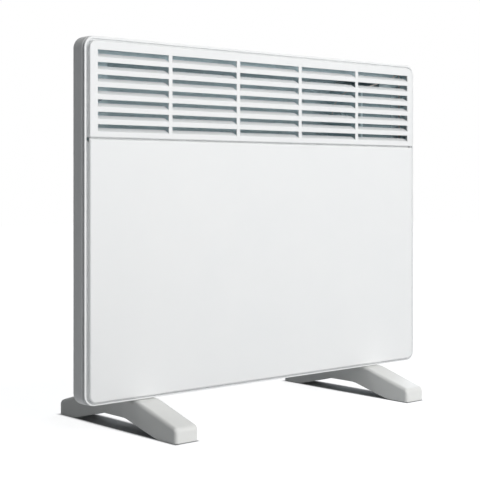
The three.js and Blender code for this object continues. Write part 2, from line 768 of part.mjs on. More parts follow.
// Thermostat: a moulded body, a mounting plate and a neck that carries the shaft through the wall.
function thermostatBody() {
  const face = WALL_X - SHEET - GAP;
  const body = prism(roundedRectangle({
    left: CONTROL_Y - BODY_HALF,
    right: CONTROL_Y + BODY_HALF,
    bottom: KNOB_Z - BODY_HALF,
    top: KNOB_Z + BODY_HALF,
    lowRadius: 4,
    highRadius: 4,
    steps: 2,
  }), 'x', face - 21, face - 1);
  const plate = block(face - 1.2, face, CONTROL_Y - 12, CONTROL_Y + 12, KNOB_Z - 22, KNOB_Z + 22);
  const neck = rod('x', [CONTROL_Y, KNOB_Z], NECK_RADIUS, face - 1, face + 6.5, 12);
  const tabs = [CONTROL_Y - 9, CONTROL_Y, CONTROL_Y + 9].map((y) => (
    block(face - 28, face - 20.5, y - 3, y + 3, KNOB_Z + 5.6, KNOB_Z + 6.4)
  ));
  const bore = rod('x', [CONTROL_Y, KNOB_Z], SHAFT_RADIUS + GAP, face - 12, face + 10, 12);
  return cut(join(body, plate, neck, ...tabs), bore);
}

// A round outline with one flat side.
function flatted(radius, flat) {
  const half = THREE.MathUtils.radToDeg(Math.acos(flat / radius));
  return arc(CONTROL_Y, KNOB_Z, radius, 90 + half, 450 - half, 10);
}

function thermostatShaft() {
  const start = WALL_X - SHEET - 11;
  const neckEnd = WALL_X + 5.6;
  const round = rod('x', [CONTROL_Y, KNOB_Z], SHAFT_RADIUS, start, neckEnd, 12);
  return join(round, prism(flatted(SHAFT_RADIUS, SHAFT_FLAT), 'x', neckEnd - 0.5, WALL_X + 16));
}

// Knob: a round skirt, a fluted grip with a rounded face, and a raised pointer.
function thermostatKnob() {
  const base = WALL_X + GAP + CONTROL_THICKNESS + 1;
  const centre = [CONTROL_Y, KNOB_Z];
  const skirt = turned('x', centre, [
    [base, KNOB_RADIUS - 0.4], [base + 2.2, KNOB_RADIUS], [base + 3.4, KNOB_RADIUS - 1.6],
  ], 20);
  const grip = turned('x', centre, [
    [base + 1, 14.6], [base + KNOB_LENGTH - 2, 13.6], [base + KNOB_LENGTH, 12],
  ], 20);
  const flutes = Array.from({ length: FLUTES }, (_, i) => {
    const angle = ((i + 0.5) * 2 * Math.PI) / FLUTES;
    const place = [CONTROL_Y + 15.2 * Math.cos(angle), KNOB_Z + 15.2 * Math.sin(angle)];
    return rod('x', place, 1.9, base + 4.2, base + KNOB_LENGTH + 1, 6);
  });
  const pointer = block(base + KNOB_LENGTH - 1.5, base + KNOB_LENGTH + 0.8, CONTROL_Y - 0.9,
    CONTROL_Y + 0.9, KNOB_Z + 3, KNOB_Z + 12.6);
  const bore = prism(flatted(SHAFT_RADIUS + GAP, SHAFT_FLAT + GAP), 'x', base - 1, WALL_X + 16 + GAP);
  const recess = rod('x', centre, 7, base - 1, base + 3.6, 12);
  const whole = join(cut(join(skirt, grip), ...flutes), pointer);
  return cut(whole, bore, recess);
}

// Switch housing: a bezel outside the plate, a body through the wall, a well and two tabs.
function switchHousing(z) {
  const plateFace = WALL_X + GAP + CONTROL_THICKNESS;
  const back = WALL_X - 17;
  const body = switchBlock(SWITCH_BODY, 0, back, plateFace + 1, z);
  const bezel = switchBlock(SWITCH_BEZEL, 0, plateFace + GAP, plateFace + GAP + 2, z);
  const well = switchBlock(SWITCH_WELL, 0, ROCKER_PIVOT - 8, plateFace + 4, z);
  const tabs = [z - 5.5, z + 5.5].map((height) => (
    block(back - 7.5, back + 0.5, CONTROL_Y - 3.1, CONTROL_Y + 3.1, height - 0.4, height + 0.4)
  ));
  const pivot = rod('y', [z, ROCKER_PIVOT], 1.5, CONTROL_Y - 6, CONTROL_Y + 6, 8);
  return cut(join(body, bezel, ...tabs), well, pivot);
}

// Rocker, drawn about its own pivot: two flats that meet at a low ridge, and a pin through it.
function switchRocker() {
  const half = SWITCH_WELL[0] / 2 - GAP;
  const section = [[0, 9.2], [6.6, 7.9], [7.2, 2], [2.6, -3], [-2.6, -3], [-7.2, 2], [-6.6, 7.9]];
  const body = prism(section, 'y', -half, half);
  return join(body, rod('y', [0, 0], 1.2, -half - 0.7, half + 0.7, 8));
}

// ---- Wiring parts -------------------------------------------------------------------------------

// Cable inlet bush: a flange outside, a neck through the wall, a collar inside and an open bore.
function cableBush() {
  const centre = [BUSH_Y, BUSH_Z];
  const inside = WALL_X - SHEET;
  const flange = turned('x', centre, [[WALL_X + GAP, 9], [WALL_X + 2.2, 9], [WALL_X + 9, 6]], 16);
  const neck = rod('x', centre, BUSH_RADIUS, inside - 5, WALL_X + 1, 12);
  const collar = rod('x', centre, 8, inside - 5, inside - GAP, 16);
  return cut(join(flange, neck, collar), rod('x', centre, BUSH_BORE, inside - 6, WALL_X + 10, 12));
}

// Three-pole terminal block with two screw wells over each pole.
function terminalBlock() {
  const floor = SHEET + GAP;
  const poles = [BLOCK_Y - POLE_PITCH, BLOCK_Y, BLOCK_Y + POLE_PITCH];
  const base = block(218, 242, BLOCK_Y - 15, BLOCK_Y + 15, floor, floor + 5);
  const bodies = poles.map((y) => block(220, 240, y - 3.6, y + 3.6, floor + 4, floor + 12));
  const wells = poles.flatMap((y) => (
    [225, 235].map((x) => rod('z', [x, y], 2.4, floor + 7, floor + 16, 6))
  ));
  return cut(join(base, ...bodies), ...wells);
}

// The thin lead that runs from the cut-out over the partition and down beside the control cover.
function cutoutLead() {
  return wire([
    [180, 56.9, 370],
    [182, 54, 384],
    [186, 42, 398],
    [196, 27, 407.5],
    [213, 16, 409.7],
    [232.4, 14, 415.3],
    [250, 14, 420.2],
    [263.4, 14, 424.5],
    [272.3, 14, 431.1],
    [278, 15.5, 434.6],
    [283, 17.4, 431],
    [284.3, 18, 420],
    [284.3, 18, 380],
    [284.3, 18, 335],
    [282, 18.5, 318],
    [272, 20, 310.5],
    [256, 20.4, 309.6],
    [240, 23, 310],
    [224, 34, 309],
    [221, 44, 307.7],
  ], 0.9, 44, 5);
}

function elementLead(points) {
  return wire(points, 1.3, 18, 5);
}

function capillaryTube() {
  return wire([
    [248, 40, 120.4],
    [248, 40, 150],
    [246, 39, 210],
    [239, 40, 258],
    [236, 44, 274],
    [236, 44, 282.4],
  ], 0.8, 12, 5);
}

function sensorBulb() {
  return turned('z', [248, 40], [[60, 1.4], [61.5, 3], [118.5, 3], [120, 1.4]], 10);
}

// ---- Feet ---------------------------------------------------------------------------------------

// Height of the foot's top and of its arched underside at a place along it.
function footTop(y) {
  const half = FOOT_LENGTH / 2;
  const flatTop = FLOOR_CLEARANCE - GAP;
  const slope = (flatTop - FOOT_END_HEIGHT) / (half - FOOT_FLAT);
  return flatTop - Math.max(0, Math.abs(y) - FOOT_FLAT) * slope;
}

function footArch(y) {
  const rise = (ARCH_HEIGHT - PAD_PROUD) / (ARCH_START - ARCH_FLAT);
  return PAD_PROUD + THREE.MathUtils.clamp((ARCH_START - Math.abs(y)) * rise, 0, ARCH_HEIGHT - PAD_PROUD);
}

// One cross-section of the foot, with round upper edges, drawn in by `inset` for the hollow inside.
function footRing(y, inset, bottom) {
  const distance = FOOT_LENGTH / 2 - Math.abs(y);
  const short = Math.max(FOOT_EDGE - distance, 0);
  const pinch = FOOT_EDGE - Math.sqrt(FOOT_EDGE ** 2 - short ** 2);
  const half = FOOT_WIDTH / 2 - inset - pinch;
  const top = footTop(y) - inset - pinch;
  const radius = FOOT_EDGE - inset;
  const ring = [
    [-half, bottom],
    [half, bottom],
    ...arc(half - radius, top - radius, radius, 0, 90, 2),
    ...arc(radius - half, top - radius, radius, 90, 180, 2),
  ];
  return ring.map(([x, z]) => [x, y, z]);
}

function footStations(end) {
  const half = [end, end - 1.2, end - FOOT_EDGE, ARCH_START, FOOT_FLAT, ARCH_FLAT, 0];
  return [...half.map((y) => -y), ...half.slice(0, -1).reverse()];
}

function foot() {
  const end = FOOT_LENGTH / 2;
  const outer = loft(footStations(end).map((y) => footRing(y, 0, footArch(y))));
  const hollow = loft(footStations(end - FOOT_WALL).map((y) => footRing(y, FOOT_WALL, -1)));
  const bosses = Object.values(FOOT_SCREW_DEPTHS).map((depth) => (
    rod('z', [0, RIM_PLANE + depth], 6.5, 30, FLOOR_CLEARANCE - 1, 12)
  ));
  const stiffening = overlap(join(...footRibs(), ...bosses), outer);
  const holes = Object.values(FOOT_SCREW_DEPTHS).flatMap((depth) => [
    rod('z', [0, RIM_PLANE + depth], FOOT_SCREW_HOLE, 20, FLOOR_CLEARANCE + 1, 8),
    rod('z', [0, RIM_PLANE + depth], FOOT_SCREW_WELL, 20, FOOT_SCREW_SEAT, 12),
  ]);
  return cut(join(cut(outer, hollow), stiffening), ...holes);
}

// Cross ribs, and a lengthways rib at each end that the floor pad is glued to.
function footRibs() {
  const padTop = PAD_THICKNESS + GAP;
  const half = FOOT_WIDTH / 2;
  const ends = [-1, 1].flatMap((side) => {
    const inner = side * (ARCH_START + 2);
    const outer = side * (FOOT_LENGTH / 2 - 1);
    return [
      block(-1, 1, Math.min(inner, outer), Math.max(inner, outer), padTop, FLOOR_CLEARANCE),
      block(-half, half, inner - 1, inner + 1, padTop, FLOOR_CLEARANCE),
      block(-half, half, side * 111 - 1, side * 111 + 1, padTop, FLOOR_CLEARANCE),
    ];
  });
  const cross = [-70, 0, 70].map((y) => (
    block(-half, half, y - 0.9, y + 0.9, footArch(y) + 4, FLOOR_CLEARANCE)
  ));
  return [...ends, ...cross];
}

// Rubber floor pad, let into the end of the foot and standing a little proud of it.
function footPad() {
  const half = PAD_LENGTH / 2;
  const ring = (inset, z) => roundedRectangle({
    left: -FOOT_WIDTH / 2 + FOOT_WALL + GAP + inset,
    right: FOOT_WIDTH / 2 - FOOT_WALL - GAP - inset,
    bottom: -half + inset,
    top: half - inset,
    lowRadius: 3 - inset,
    highRadius: 3 - inset,
    steps: 2,
  }).map(([x, y]) => [x, y, z]);
  return loft([ring(0.5, 0), ring(0, 0.5), ring(0, PAD_THICKNESS)]);
}

// Pan-head screw, drawn with its seat at the origin and its shank along +Z.
function screw(headRadius, headHeight, shankRadius, length) {
  return turned('z', [0, 0], [
    [-headHeight, headRadius * 0.6],
    [-headHeight * 0.4, headRadius],
    [0, headRadius],
    [0.01, shankRadius],
    [length, shankRadius * 0.7],
  ], 8);
}

// ---- Assembly -----------------------------------------------------------------------------------

const finishes = {
  casing: { color: 0xf0f1f2, roughness: 0.45, metalness: 0 },
  zinc: { color: 0xaab4ba, roughness: 0.5, metalness: 0.6 },
  foot: { color: 0xdcdcd8, roughness: 0.55, metalness: 0 },
  rubber: { color: 0x2c2c2e, roughness: 0.9, metalness: 0 },
  aluminium: { color: 0xc4c7c9, roughness: 0.4, metalness: 1 },
  ceramic: { color: 0xe8e2d4, roughness: 0.6, metalness: 0 },
  steel: { color: 0x9a9da0, roughness: 0.35, metalness: 1 },
  black: { color: 0x222325, roughness: 0.4, metalness: 0 },
  knob: { color: 0xe4e5e4, roughness: 0.4, metalness: 0 },
  lead: { color: 0xe0cfc4, roughness: 0.6, metalness: 0 },
  copper: { color: 0xb0714a, roughness: 0.4, metalness: 1 },
};

function named(name, geometry, finish) {
  const mesh = new THREE.Mesh(geometry, new THREE.MeshStandardMaterial(finishes[finish]));
  mesh.name = name;
  return mesh;
}

function fronts() {
  return [
    named('front_frame', frontFrame(), 'casing'),
    named('outlet_grille', outletGrille(), 'casing'),
    named('front_panel', frontPanel(), 'casing'),
  ];
}

function casings() {
  const screws = backScrewPlaces.map(([x, z], i) => {
    const mesh = named(`back_screw_${i + 1}`, screw(...BACK_SCREW), 'steel');
    mesh.position.set(x, BOX_FRONT + SHEET + GAP, z);
    mesh.rotation.x = Math.PI / 2;
    return mesh;
  });
  return [
    named('rear_tray', rearTray(), 'casing'),
    named('rear_box', rearBox(), 'casing'),
    ...screws,
  ];
}

function innerSheets() {
  return [
    named('heat_shield', heatShield(), 'zinc'),
    named('air_deflector', airDeflector(), 'zinc'),
    named('control_partition', controlPartition(), 'zinc'),
    named('control_cover', controlCover(), 'zinc'),
  ];
}

function heater() {
  const ends = { left: [ELEMENT_LEFT, -1], right: [ELEMENT_RIGHT, 1] };
  const pieces = Object.entries(ends).flatMap(([name, [x, side]]) => {
    const bracketX = side < 0 ? x - BRACKET_OFFSET - SHEET : x + BRACKET_OFFSET;
    return [
      named(`element_bracket_${name}`, elementBracket(bracketX, side), 'zinc'),
      named(`element_insulator_${name}`, elementInsulator(x, side), 'ceramic'),
      named(`element_pin_${name}`, elementPin(x, side), 'steel'),
    ];
  });
  return [
    named('heating_element', heatingElement(), 'aluminium'),
    named('thermal_cutout', thermalCutout(), 'black'),
    ...pieces,
  ];
}

function controls() {
  const switches = Object.entries(SWITCH_HEIGHTS).flatMap(([name, z]) => {
    const rocker = named(`switch_rocker_${name}`, switchRocker(), 'black');
    rocker.position.set(ROCKER_PIVOT, CONTROL_Y, z);
    rocker.rotation.y = ROCKER_TILT;
    return [named(`switch_housing_${name}`, switchHousing(z), 'black'), rocker];
  });
  return [
    named('control_plate', controlPlate(), 'knob'),
    named('thermostat_body', thermostatBody(), 'black'),
    named('thermostat_shaft', thermostatShaft(), 'steel'),
    named('thermostat_knob', thermostatKnob(), 'knob'),
    named('capillary_tube', capillaryTube(), 'copper'),
    named('sensor_bulb', sensorBulb(), 'copper'),
    ...switches,
  ];
}

function wiring() {
  return [
    named('cable_bush', cableBush(), 'black'),
    named('terminal_block', terminalBlock(), 'ceramic'),
    named('cutout_lead', cutoutLead(), 'lead'),
    named('element_lead_left', elementLead([
      [-234.5, 52, 70], [-238, 52, 70], [-243, 46, 64], [-244, 34, 44], [-243, 28, 26], [-236, 27.7, 12],
      [-222, 27.7, 6], [-195, 27.7, 4.5], [-150, 27.7, 4.5], [0, 27.7, 4.5], [130, 27.7, 4.5],
      [165, 27.7, 4.8], [185, 31, 9.5],
      [PARTITION_X + 0.4, ...LEAD_PASS_LOW], [208, 35, 18], [216, 38, 24], [219.5, 39, 24],
    ]), 'lead'),
    named('element_lead_right', elementLead([
      [179.5, 52, 70], [183, 52, 70], [189, 52, 74], [PARTITION_X + 0.4, ...LEAD_PASS_HIGH], [206, 52, 84],
      [214, 52, 100], [218, 52, 150], [222, 51, 190], [226, 50.5, 197],
    ]), 'lead'),
    named('supply_lead', elementLead([
      [243, BUSH_Y, BUSH_Z], [236, 56, 39], [226, 50, 38], [219, 44, 34], [218, 40, 30],
    ]), 'lead'),
  ];
}

function feet() {
  const sides = { left: -1, right: 1 };
  const ends = { front: -1, rear: 1 };
  const padY = FOOT_LENGTH / 2 - FOOT_WALL - GAP - PAD_LENGTH / 2;
  return Object.entries(sides).map(([sideName, side]) => {
    const group = new THREE.Group();
    group.position.x = side * FOOT_X;
    group.add(named(`foot_${sideName}`, foot(), 'foot'));
    for (const [endName, end] of Object.entries(ends)) {
      const pad = named(`foot_pad_${sideName}_${endName}`, footPad(), 'rubber');
      pad.position.y = end * padY;
      const bolt = named(`foot_screw_${sideName}_${endName}`, screw(...FOOT_SCREW), 'steel');
      bolt.position.set(0, RIM_PLANE + FOOT_SCREW_DEPTHS[endName], FOOT_SCREW_SEAT - GAP);
      group.add(pad, bolt);
    }
    return group;
  });
}

const casing = new THREE.Group();
casing.position.set(0, RIM_PLANE, FLOOR_CLEARANCE);
casing.add(...fronts(), ...casings(), ...innerSheets(), ...heater(), ...controls(), ...wiring());

const convector = new THREE.Group();
convector.add(casing, ...feet());

export default convector;
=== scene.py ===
import math

import bmesh
import bpy
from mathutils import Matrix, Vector


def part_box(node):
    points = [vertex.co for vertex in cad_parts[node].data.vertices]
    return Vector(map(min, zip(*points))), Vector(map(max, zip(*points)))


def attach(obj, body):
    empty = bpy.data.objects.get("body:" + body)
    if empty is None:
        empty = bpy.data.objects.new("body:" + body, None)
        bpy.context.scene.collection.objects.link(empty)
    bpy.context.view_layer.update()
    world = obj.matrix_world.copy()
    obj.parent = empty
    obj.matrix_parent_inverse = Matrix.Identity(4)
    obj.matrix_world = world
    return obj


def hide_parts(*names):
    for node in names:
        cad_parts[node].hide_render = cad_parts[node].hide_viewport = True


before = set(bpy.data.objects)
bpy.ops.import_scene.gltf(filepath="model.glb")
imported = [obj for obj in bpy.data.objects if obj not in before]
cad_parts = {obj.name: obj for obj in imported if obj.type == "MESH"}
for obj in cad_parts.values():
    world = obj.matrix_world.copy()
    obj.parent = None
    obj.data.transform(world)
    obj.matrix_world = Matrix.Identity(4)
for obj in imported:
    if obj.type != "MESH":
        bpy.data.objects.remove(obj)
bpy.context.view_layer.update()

scene = bpy.context.scene


# ---- Camera --------------------------------------------------------------------------------------
# The photograph's viewpoint: off the heater's left front corner, level, a little above the middle of
# the casing. The long lens and the shift put the object where it lies in the square picture.

camera_data = bpy.data.cameras.new("camera")
camera_data.lens = 90.24
camera_data.sensor_width = 36
camera_data.shift_y = -0.1227
camera = bpy.data.objects.new("camera", camera_data)
camera.location = (-1.0975, -1.24725, 0.3117)
camera.rotation_euler = (math.radians(90), 0, math.radians(-41.01))
scene.collection.objects.link(camera)
scene.camera = camera
scene.view_settings.view_transform = "Standard"


# ---- Floor, backdrop and lights ------------------------------------------------------------------
# A plain white studio: one pale floor that keeps the heater's shadow, a white surround for the eye and
# for gloss, a broad soft light in front, a smaller one above it, and a weak one past the right end.

def add(tree, kind, inputs=None, **settings):
    """Adds a node with its settings; inputs gives each socket a value, or the output that feeds it."""
    node = tree.nodes.new(kind)
    for name, value in settings.items():
        setattr(node, name, value)
    for socket, value in (inputs or {}).items():
        if isinstance(value, bpy.types.NodeSocket):
            tree.links.new(value, node.inputs[socket])
        else:
            node.inputs[socket].default_value = value
    return node


def linear(colour):
    """An sRGB hex colour as linear red, green, blue and alpha."""
    channels = [int(colour[i:i + 2], 16) / 255 for i in (1, 3, 5)]
    return [c / 12.92 if c <= 0.04045 else ((c + 0.055) / 1.055) ** 2.4 for c in channels] + [1.0]


def new_material(name):
    """An empty material, its tree, and the object coordinates that its patterns follow."""
    material = bpy.data.materials.new(name)
    material.use_nodes = True
    material.node_tree.nodes.clear()
    where = add(material.node_tree, "ShaderNodeTexCoord").outputs["Object"]
    return material, material.node_tree, where


def studio_rays(tree):
    """1 for the rays that show the white studio: the camera's own, and those in gloss and in glass."""
    path = add(tree, "ShaderNodeLightPath").outputs
    gloss = add(tree, "ShaderNodeMath", {0: path["Is Camera Ray"], 1: path["Is Glossy Ray"]},
                operation="MAXIMUM")
    return add(tree, "ShaderNodeMath", {0: gloss.outputs[0], 1: path["Is Transmission Ray"]},
               operation="MAXIMUM").outputs[0]


FLOOR_REACH = 6.0
FLOOR_LIFT = 0.89
LIFT_SPAN = (0.7, 2.2)
SHADOW_EDGE = (-0.003, 0.006)

# White seamless paper: dead matt. It is lifted to full white for the eye, the more the farther it lies, but
# not under the feet: there the real shadow is left unlifted, so it stays deeper than anywhere else, a painted
# shadow under each foot.
floor_paper, tree, spot = new_material("white_studio_paper")
away = add(tree, "ShaderNodeVectorMath", {0: spot}, operation="LENGTH")
far = add(tree, "ShaderNodeMapRange", {"Value": away.outputs["Value"], "From Min": LIFT_SPAN[0],
                                       "From Max": LIFT_SPAN[1], "To Min": FLOOR_LIFT, "To Max": 1.0})
# Over each foot's footprint the lift falls to nothing: painted shadow beneath the feet, on top of the real
# one.
foot_low, foot_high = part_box("foot_right")
foot_middle = (foot_low + foot_high) / 2
foot_half = (foot_high - foot_low) / 2
both_sides = add(tree, "ShaderNodeVectorMath", {0: spot}, operation="ABSOLUTE")
from_foot = add(tree, "ShaderNodeVectorMath", {0: both_sides.outputs[0], 1: (foot_middle.x, 0, 0)},
                operation="SUBTRACT")
off_centre = add(tree, "ShaderNodeVectorMath", {0: from_foot.outputs[0]}, operation="ABSOLUTE")
past_edge = add(tree, "ShaderNodeVectorMath", {0: off_centre.outputs[0], 1: (foot_half.x, foot_half.y, 0)},
                operation="SUBTRACT")
sides = add(tree, "ShaderNodeSeparateXYZ", {0: past_edge.outputs[0]})
clear = add(tree, "ShaderNodeMath", {0: sides.outputs["X"], 1: sides.outputs["Y"]}, operation="MAXIMUM")
outside_painted_foot_shadow = add(tree, "ShaderNodeMapRange", {"Value": clear.outputs[0], "From Min": SHADOW_EDGE[0],
                                           "From Max": SHADOW_EDGE[1]}, interpolation_type="SMOOTHSTEP")
shown = add(tree, "ShaderNodeMath", {0: far.outputs[0], 1: outside_painted_foot_shadow.outputs[0]}, operation="MULTIPLY")
lift = add(tree, "ShaderNodeMath", {0: shown.outputs[0], 1: studio_rays(tree)}, operation="MULTIPLY")
paper = add(tree, "ShaderNodeBsdfDiffuse", {"Color": linear("#bfc1c3")})
glow = add(tree, "ShaderNodeEmission", {"Strength": lift.outputs[0]})
both = add(tree, "ShaderNodeAddShader", {0: paper.outputs[0], 1: glow.outputs[0]})
add(tree, "ShaderNodeOutputMaterial", {"Surface": both.outputs[0]})

floor_mesh = bpy.data.meshes.new("floor")
corners = [(-FLOOR_REACH, -FLOOR_REACH, 0), (FLOOR_REACH, -FLOOR_REACH, 0),
           (FLOOR_REACH, FLOOR_REACH, 0), (-FLOOR_REACH, FLOOR_REACH, 0)]
floor_mesh.from_pydata(corners, [], [(0, 1, 2, 3)])
floor_mesh.materials.append(floor_paper)
floor = bpy.data.objects.new("floor", floor_mesh)
scene.collection.objects.link(floor)

world = bpy.data.worlds.new("studio")
scene.world = world
world.use_nodes = True
tree = world.node_tree
tree.nodes.clear()
ambient = add(tree, "ShaderNodeBackground", {"Color": linear("#e6eaec"), "Strength": 0.12})
white = add(tree, "ShaderNodeBackground", {"Color": (1, 1, 1, 1), "Strength": 1.0})
mixed = add(tree, "ShaderNodeMixShader", {0: studio_rays(tree), 1: ambient.outputs[0], 2: white.outputs[0]})
add(tree, "ShaderNodeOutputWorld", {"Surface": mixed.outputs[0]})


def soft_light(name, place, aim, size, power, colour):
    data = bpy.data.lights.new(name, "AREA")
    data.shape = "RECTANGLE"
    data.size, data.size_y = size
    data.energy = power
    data.color = linear(colour)[:3]
    lamp = bpy.data.objects.new(name, data)
    lamp.location = place
    lamp.rotation_euler = (Vector(aim) - Vector(place)).to_track_quat("-Z", "Y").to_euler()
    scene.collection.objects.link(lamp)


soft_light("front_light", (0.5, -2.6, 0.85), (0, 0, 0.25), (2.0, 1.6), 44, "#fffefd")
soft_light("high_light", (0.1, -1.5, 1.9), (0, 0, 0.3), (1.6, 1.0), 14, "#fffefd")
soft_light("end_light", (2.2, 1.0, 1.4), (0.2, 0, 0.25), (1.4, 1.4), 16, "#f4f8ff")


# ---- Front frame ---------------------------------------------------------------------------------
# The outer frame of the front: sheet steel pressed into a flat bright rim, a shadow groove and a ledge
# for the two front panels, powder coated white. The baked powder leaves a faint orange peel that
# breaks up the gloss, so that a flat white face still reads as painted metal.

MM = 0.001
rim_low, rim_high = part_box("front_frame")
CASING_WIDTH = (rim_high.x - rim_low.x) / MM
CASING_HEIGHT = (rim_high.z - rim_low.z) / MM
CASING_CORNER = 15
SHEET = 1.2
GAP = 0.3
RIM_WIDTH = 3.3
RIM_BOTTOM = 2.2
RIM_SETBACK = 0.6
RIM_THICKNESS = 2
GROOVE_DEPTH = 3
GROOVE_THICKNESS = 0.9
LEDGE_INSET = 13
LEDGE_THICKNESS = 1.4
SKIRT_DEPTH = 12
SKIRT_THICKNESS = 1.5


def place(x, depth, height):
    """A point of the casing, given in mm from the middle, behind the rim and above the casing's foot."""
    return (x * MM, rim_low.y + depth * MM, rim_low.z + height * MM)


def arc(u, v, radius, start, end, steps):
    angles = [math.radians(start + (end - start) * i / steps) for i in range(steps + 1)]
    return [(u + radius * math.cos(a), v + radius * math.sin(a)) for a in angles]


def rounded(left, right, bottom, top, low_radius, high_radius, steps):
    """A rounded rectangle, with its own radius for the lower and for the upper corners."""
    return (arc(right - low_radius, bottom + low_radius, low_radius, -90, 0, steps)
            + arc(right - high_radius, top - high_radius, high_radius, 0, 90, steps)
            + arc(left + high_radius, top - high_radius, high_radius, 90, 180, steps)
            + arc(left + low_radius, bottom + low_radius, low_radius, 180, 270, steps))


def lofted(name, rings, closed=False):
    """A skin over rings of equal counts. The row of rings closes on itself, or ends in two flat caps."""
    count = len(rings[0])
    faces = []
    for k in range(len(rings) if closed else len(rings) - 1):
        here, there = k * count, (k + 1) % len(rings) * count
        for i in range(count):
            j = (i + 1) % count
            faces.append((here + i, here + j, there + j, there + i))
    if not closed:
        last = (len(rings) - 1) * count
        faces.append(tuple(range(count)))
        faces.append(tuple(range(last, last + count)))
    mesh = bpy.data.meshes.new(name)
    mesh.from_pydata([point for ring in rings for point in ring], [], faces)
    shape = bmesh.new()
    shape.from_mesh(mesh)
    bmesh.ops.recalc_face_normals(shape, faces=shape.faces)
    shape.to_mesh(mesh)
    shape.free()
    piece = bpy.data.objects.new(name, mesh)
    scene.collection.objects.link(piece)
    return piece


def swept(name, outline, section, closed=False, at_bottom=lambda inset: inset):
    """An upright rounded outline swept along a section of (inset, depth) points, in mm. A point may have a
    corner radius of its own as well, and at_bottom gives its inset along the bottom edge."""
    width, bottom, top, low_radius, high_radius, steps = outline
    smallest = 0.3
    rings = []
    for inset, depth, *own in section:
        low, high = own * 2 or (max(low_radius - inset, smallest), max(high_radius - inset, smallest))
        ring = rounded(-width / 2 + inset, width / 2 - inset, bottom + at_bottom(inset), top - inset,
                       low, high, steps)
        rings.append([place(x, depth, z) for x, z in ring])
    return lofted(name, rings, closed)


def square(u_span, v_span):
    """The four corners of a rectangle."""
    (left, right), (bottom, top) = u_span, v_span
    return [(left, bottom), (right, bottom), (right, top), (left, top)]


def block(name, x_span, depth_span, height_span):
    """A straight block of the casing."""
    ring = square(x_span, depth_span)
    return lofted(name, [[place(x, y, z) for x, y in ring] for z in height_span])


def settled(piece):
    """Turns a piece and its modifiers into a plain mesh."""
    evaluated = piece.evaluated_get(bpy.context.evaluated_depsgraph_get())
    mesh = bpy.data.meshes.new_from_object(evaluated)
    piece.modifiers.clear()
    piece.data = mesh
    return piece


def worked(piece, operation, tool):
    """Cuts a tool out of a piece, joins it on or keeps what both share, and removes the tool."""
    modifier = piece.modifiers.new("work", "BOOLEAN")
    modifier.operation = operation
    modifier.solver = "MANIFOLD"
    modifier.object = tool
    settled(piece)
    bpy.data.objects.remove(tool)
    return piece


def finished(piece, material, body, replaced, edge=0.0, turn=35):
    """Rounds the sharp edges, evens the shading, paints the piece and hands it to its body."""
    shape = bmesh.new()
    shape.from_mesh(piece.data)
    bmesh.ops.remove_doubles(shape, verts=shape.verts, dist=0.002 * MM)
    bmesh.ops.dissolve_limit(shape, angle_limit=math.radians(0.3), verts=shape.verts, edges=shape.edges)
    shape.to_mesh(piece.data)
    shape.free()
    if edge:
        bevel = piece.modifiers.new("edges", "BEVEL")
        bevel.width = edge * MM
        bevel.segments = 2
        bevel.limit_method = "ANGLE"
        bevel.angle_limit = math.radians(turn)
        bevel.miter_outer = "MITER_ARC"
    piece.data.shade_smooth()
    settled(piece)
    piece.data.set_sharp_from_angle(angle=math.radians(turn))
    weighted = piece.modifiers.new("shading", "WEIGHTED_NORMAL")
    weighted.keep_sharp = True
    settled(piece)
    piece.data.materials.clear()
    piece.data.materials.append(material)
    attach(piece, body)
    if replaced:
        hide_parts(*replaced)
    return piece


# White polyester powder coat on steel, sprayed dry and baked: a satin gloss with a fine orange peel. The
# real peel is about 1 mm from crest to crest; it is drawn at 2.4 mm so that the render still shows it.
PEEL_SPACING = 2.4 * MM
PEEL_HEIGHT = 0.012 * MM
COAT_CLOUD = 90 * MM

powder_coat, tree, where = new_material("white_powder_coat")
peel = add(tree, "ShaderNodeTexNoise", {"Vector": where, "Scale": 1 / PEEL_SPACING, "Detail": 2.0})
bump = add(tree, "ShaderNodeBump", {"Height": peel.outputs["Fac"], "Distance": PEEL_HEIGHT, "Strength": 1.0})
cloud = add(tree, "ShaderNodeTexNoise", {"Vector": where, "Scale": 1 / COAT_CLOUD, "Detail": 3.0})
tone = add(tree, "ShaderNodeMix", {"Factor": cloud.outputs["Fac"], "A": linear("#eff1f2"),
                                   "B": linear("#f4f5f5")}, data_type="RGBA")
film = add(tree, "ShaderNodeMapRange", {"Value": cloud.outputs["Fac"], "To Min": 0.36, "To Max": 0.46})
paint = add(tree, "ShaderNodeBsdfPrincipled", {
    "Base Color": tone.outputs["Result"], "Roughness": film.outputs[0], "IOR": 1.5,
    "Normal": bump.outputs[0]})
add(tree, "ShaderNodeOutputMaterial", {"Surface": paint.outputs[0]})

casing_outline = (CASING_WIDTH, 0, CASING_HEIGHT, CASING_CORNER, CASING_CORNER, 18)
SEAM_BOTTOM = 320.8
SEAM_TOP = 322.6
CROSSBAR_REACH = 9

neck = RIM_WIDTH - SHEET
floor_back = GROOVE_DEPTH + GROOVE_THICKNESS
ledge_back = GROOVE_DEPTH + LEDGE_THICKNESS
skirt = RIM_WIDTH + 0.1
skirt_inside = skirt + SKIRT_THICKNESS
rim_section = (arc(RIM_SETBACK + 0.5, 0.5, 0.5, 180, 270, 4)
               + arc(RIM_WIDTH - 0.25, 0.25, 0.25, 270, 360, 2)
               + [(RIM_WIDTH, GROOVE_DEPTH), (LEDGE_INSET, GROOVE_DEPTH), (LEDGE_INSET, ledge_back),
                  (skirt_inside, ledge_back), (skirt_inside, SKIRT_DEPTH), (skirt, SKIRT_DEPTH),
                  (skirt, floor_back), (neck, floor_back), (neck, RIM_THICKNESS)]
               + arc(RIM_SETBACK + 0.3, RIM_THICKNESS - 0.3, 0.3, 90, 180, 3))


def slim_bottom(inset):
    """The rim and its neck are narrower along the bottom edge; the ledge and the skirt aren't."""
    return inset * RIM_BOTTOM / RIM_WIDTH if inset <= RIM_WIDTH else inset


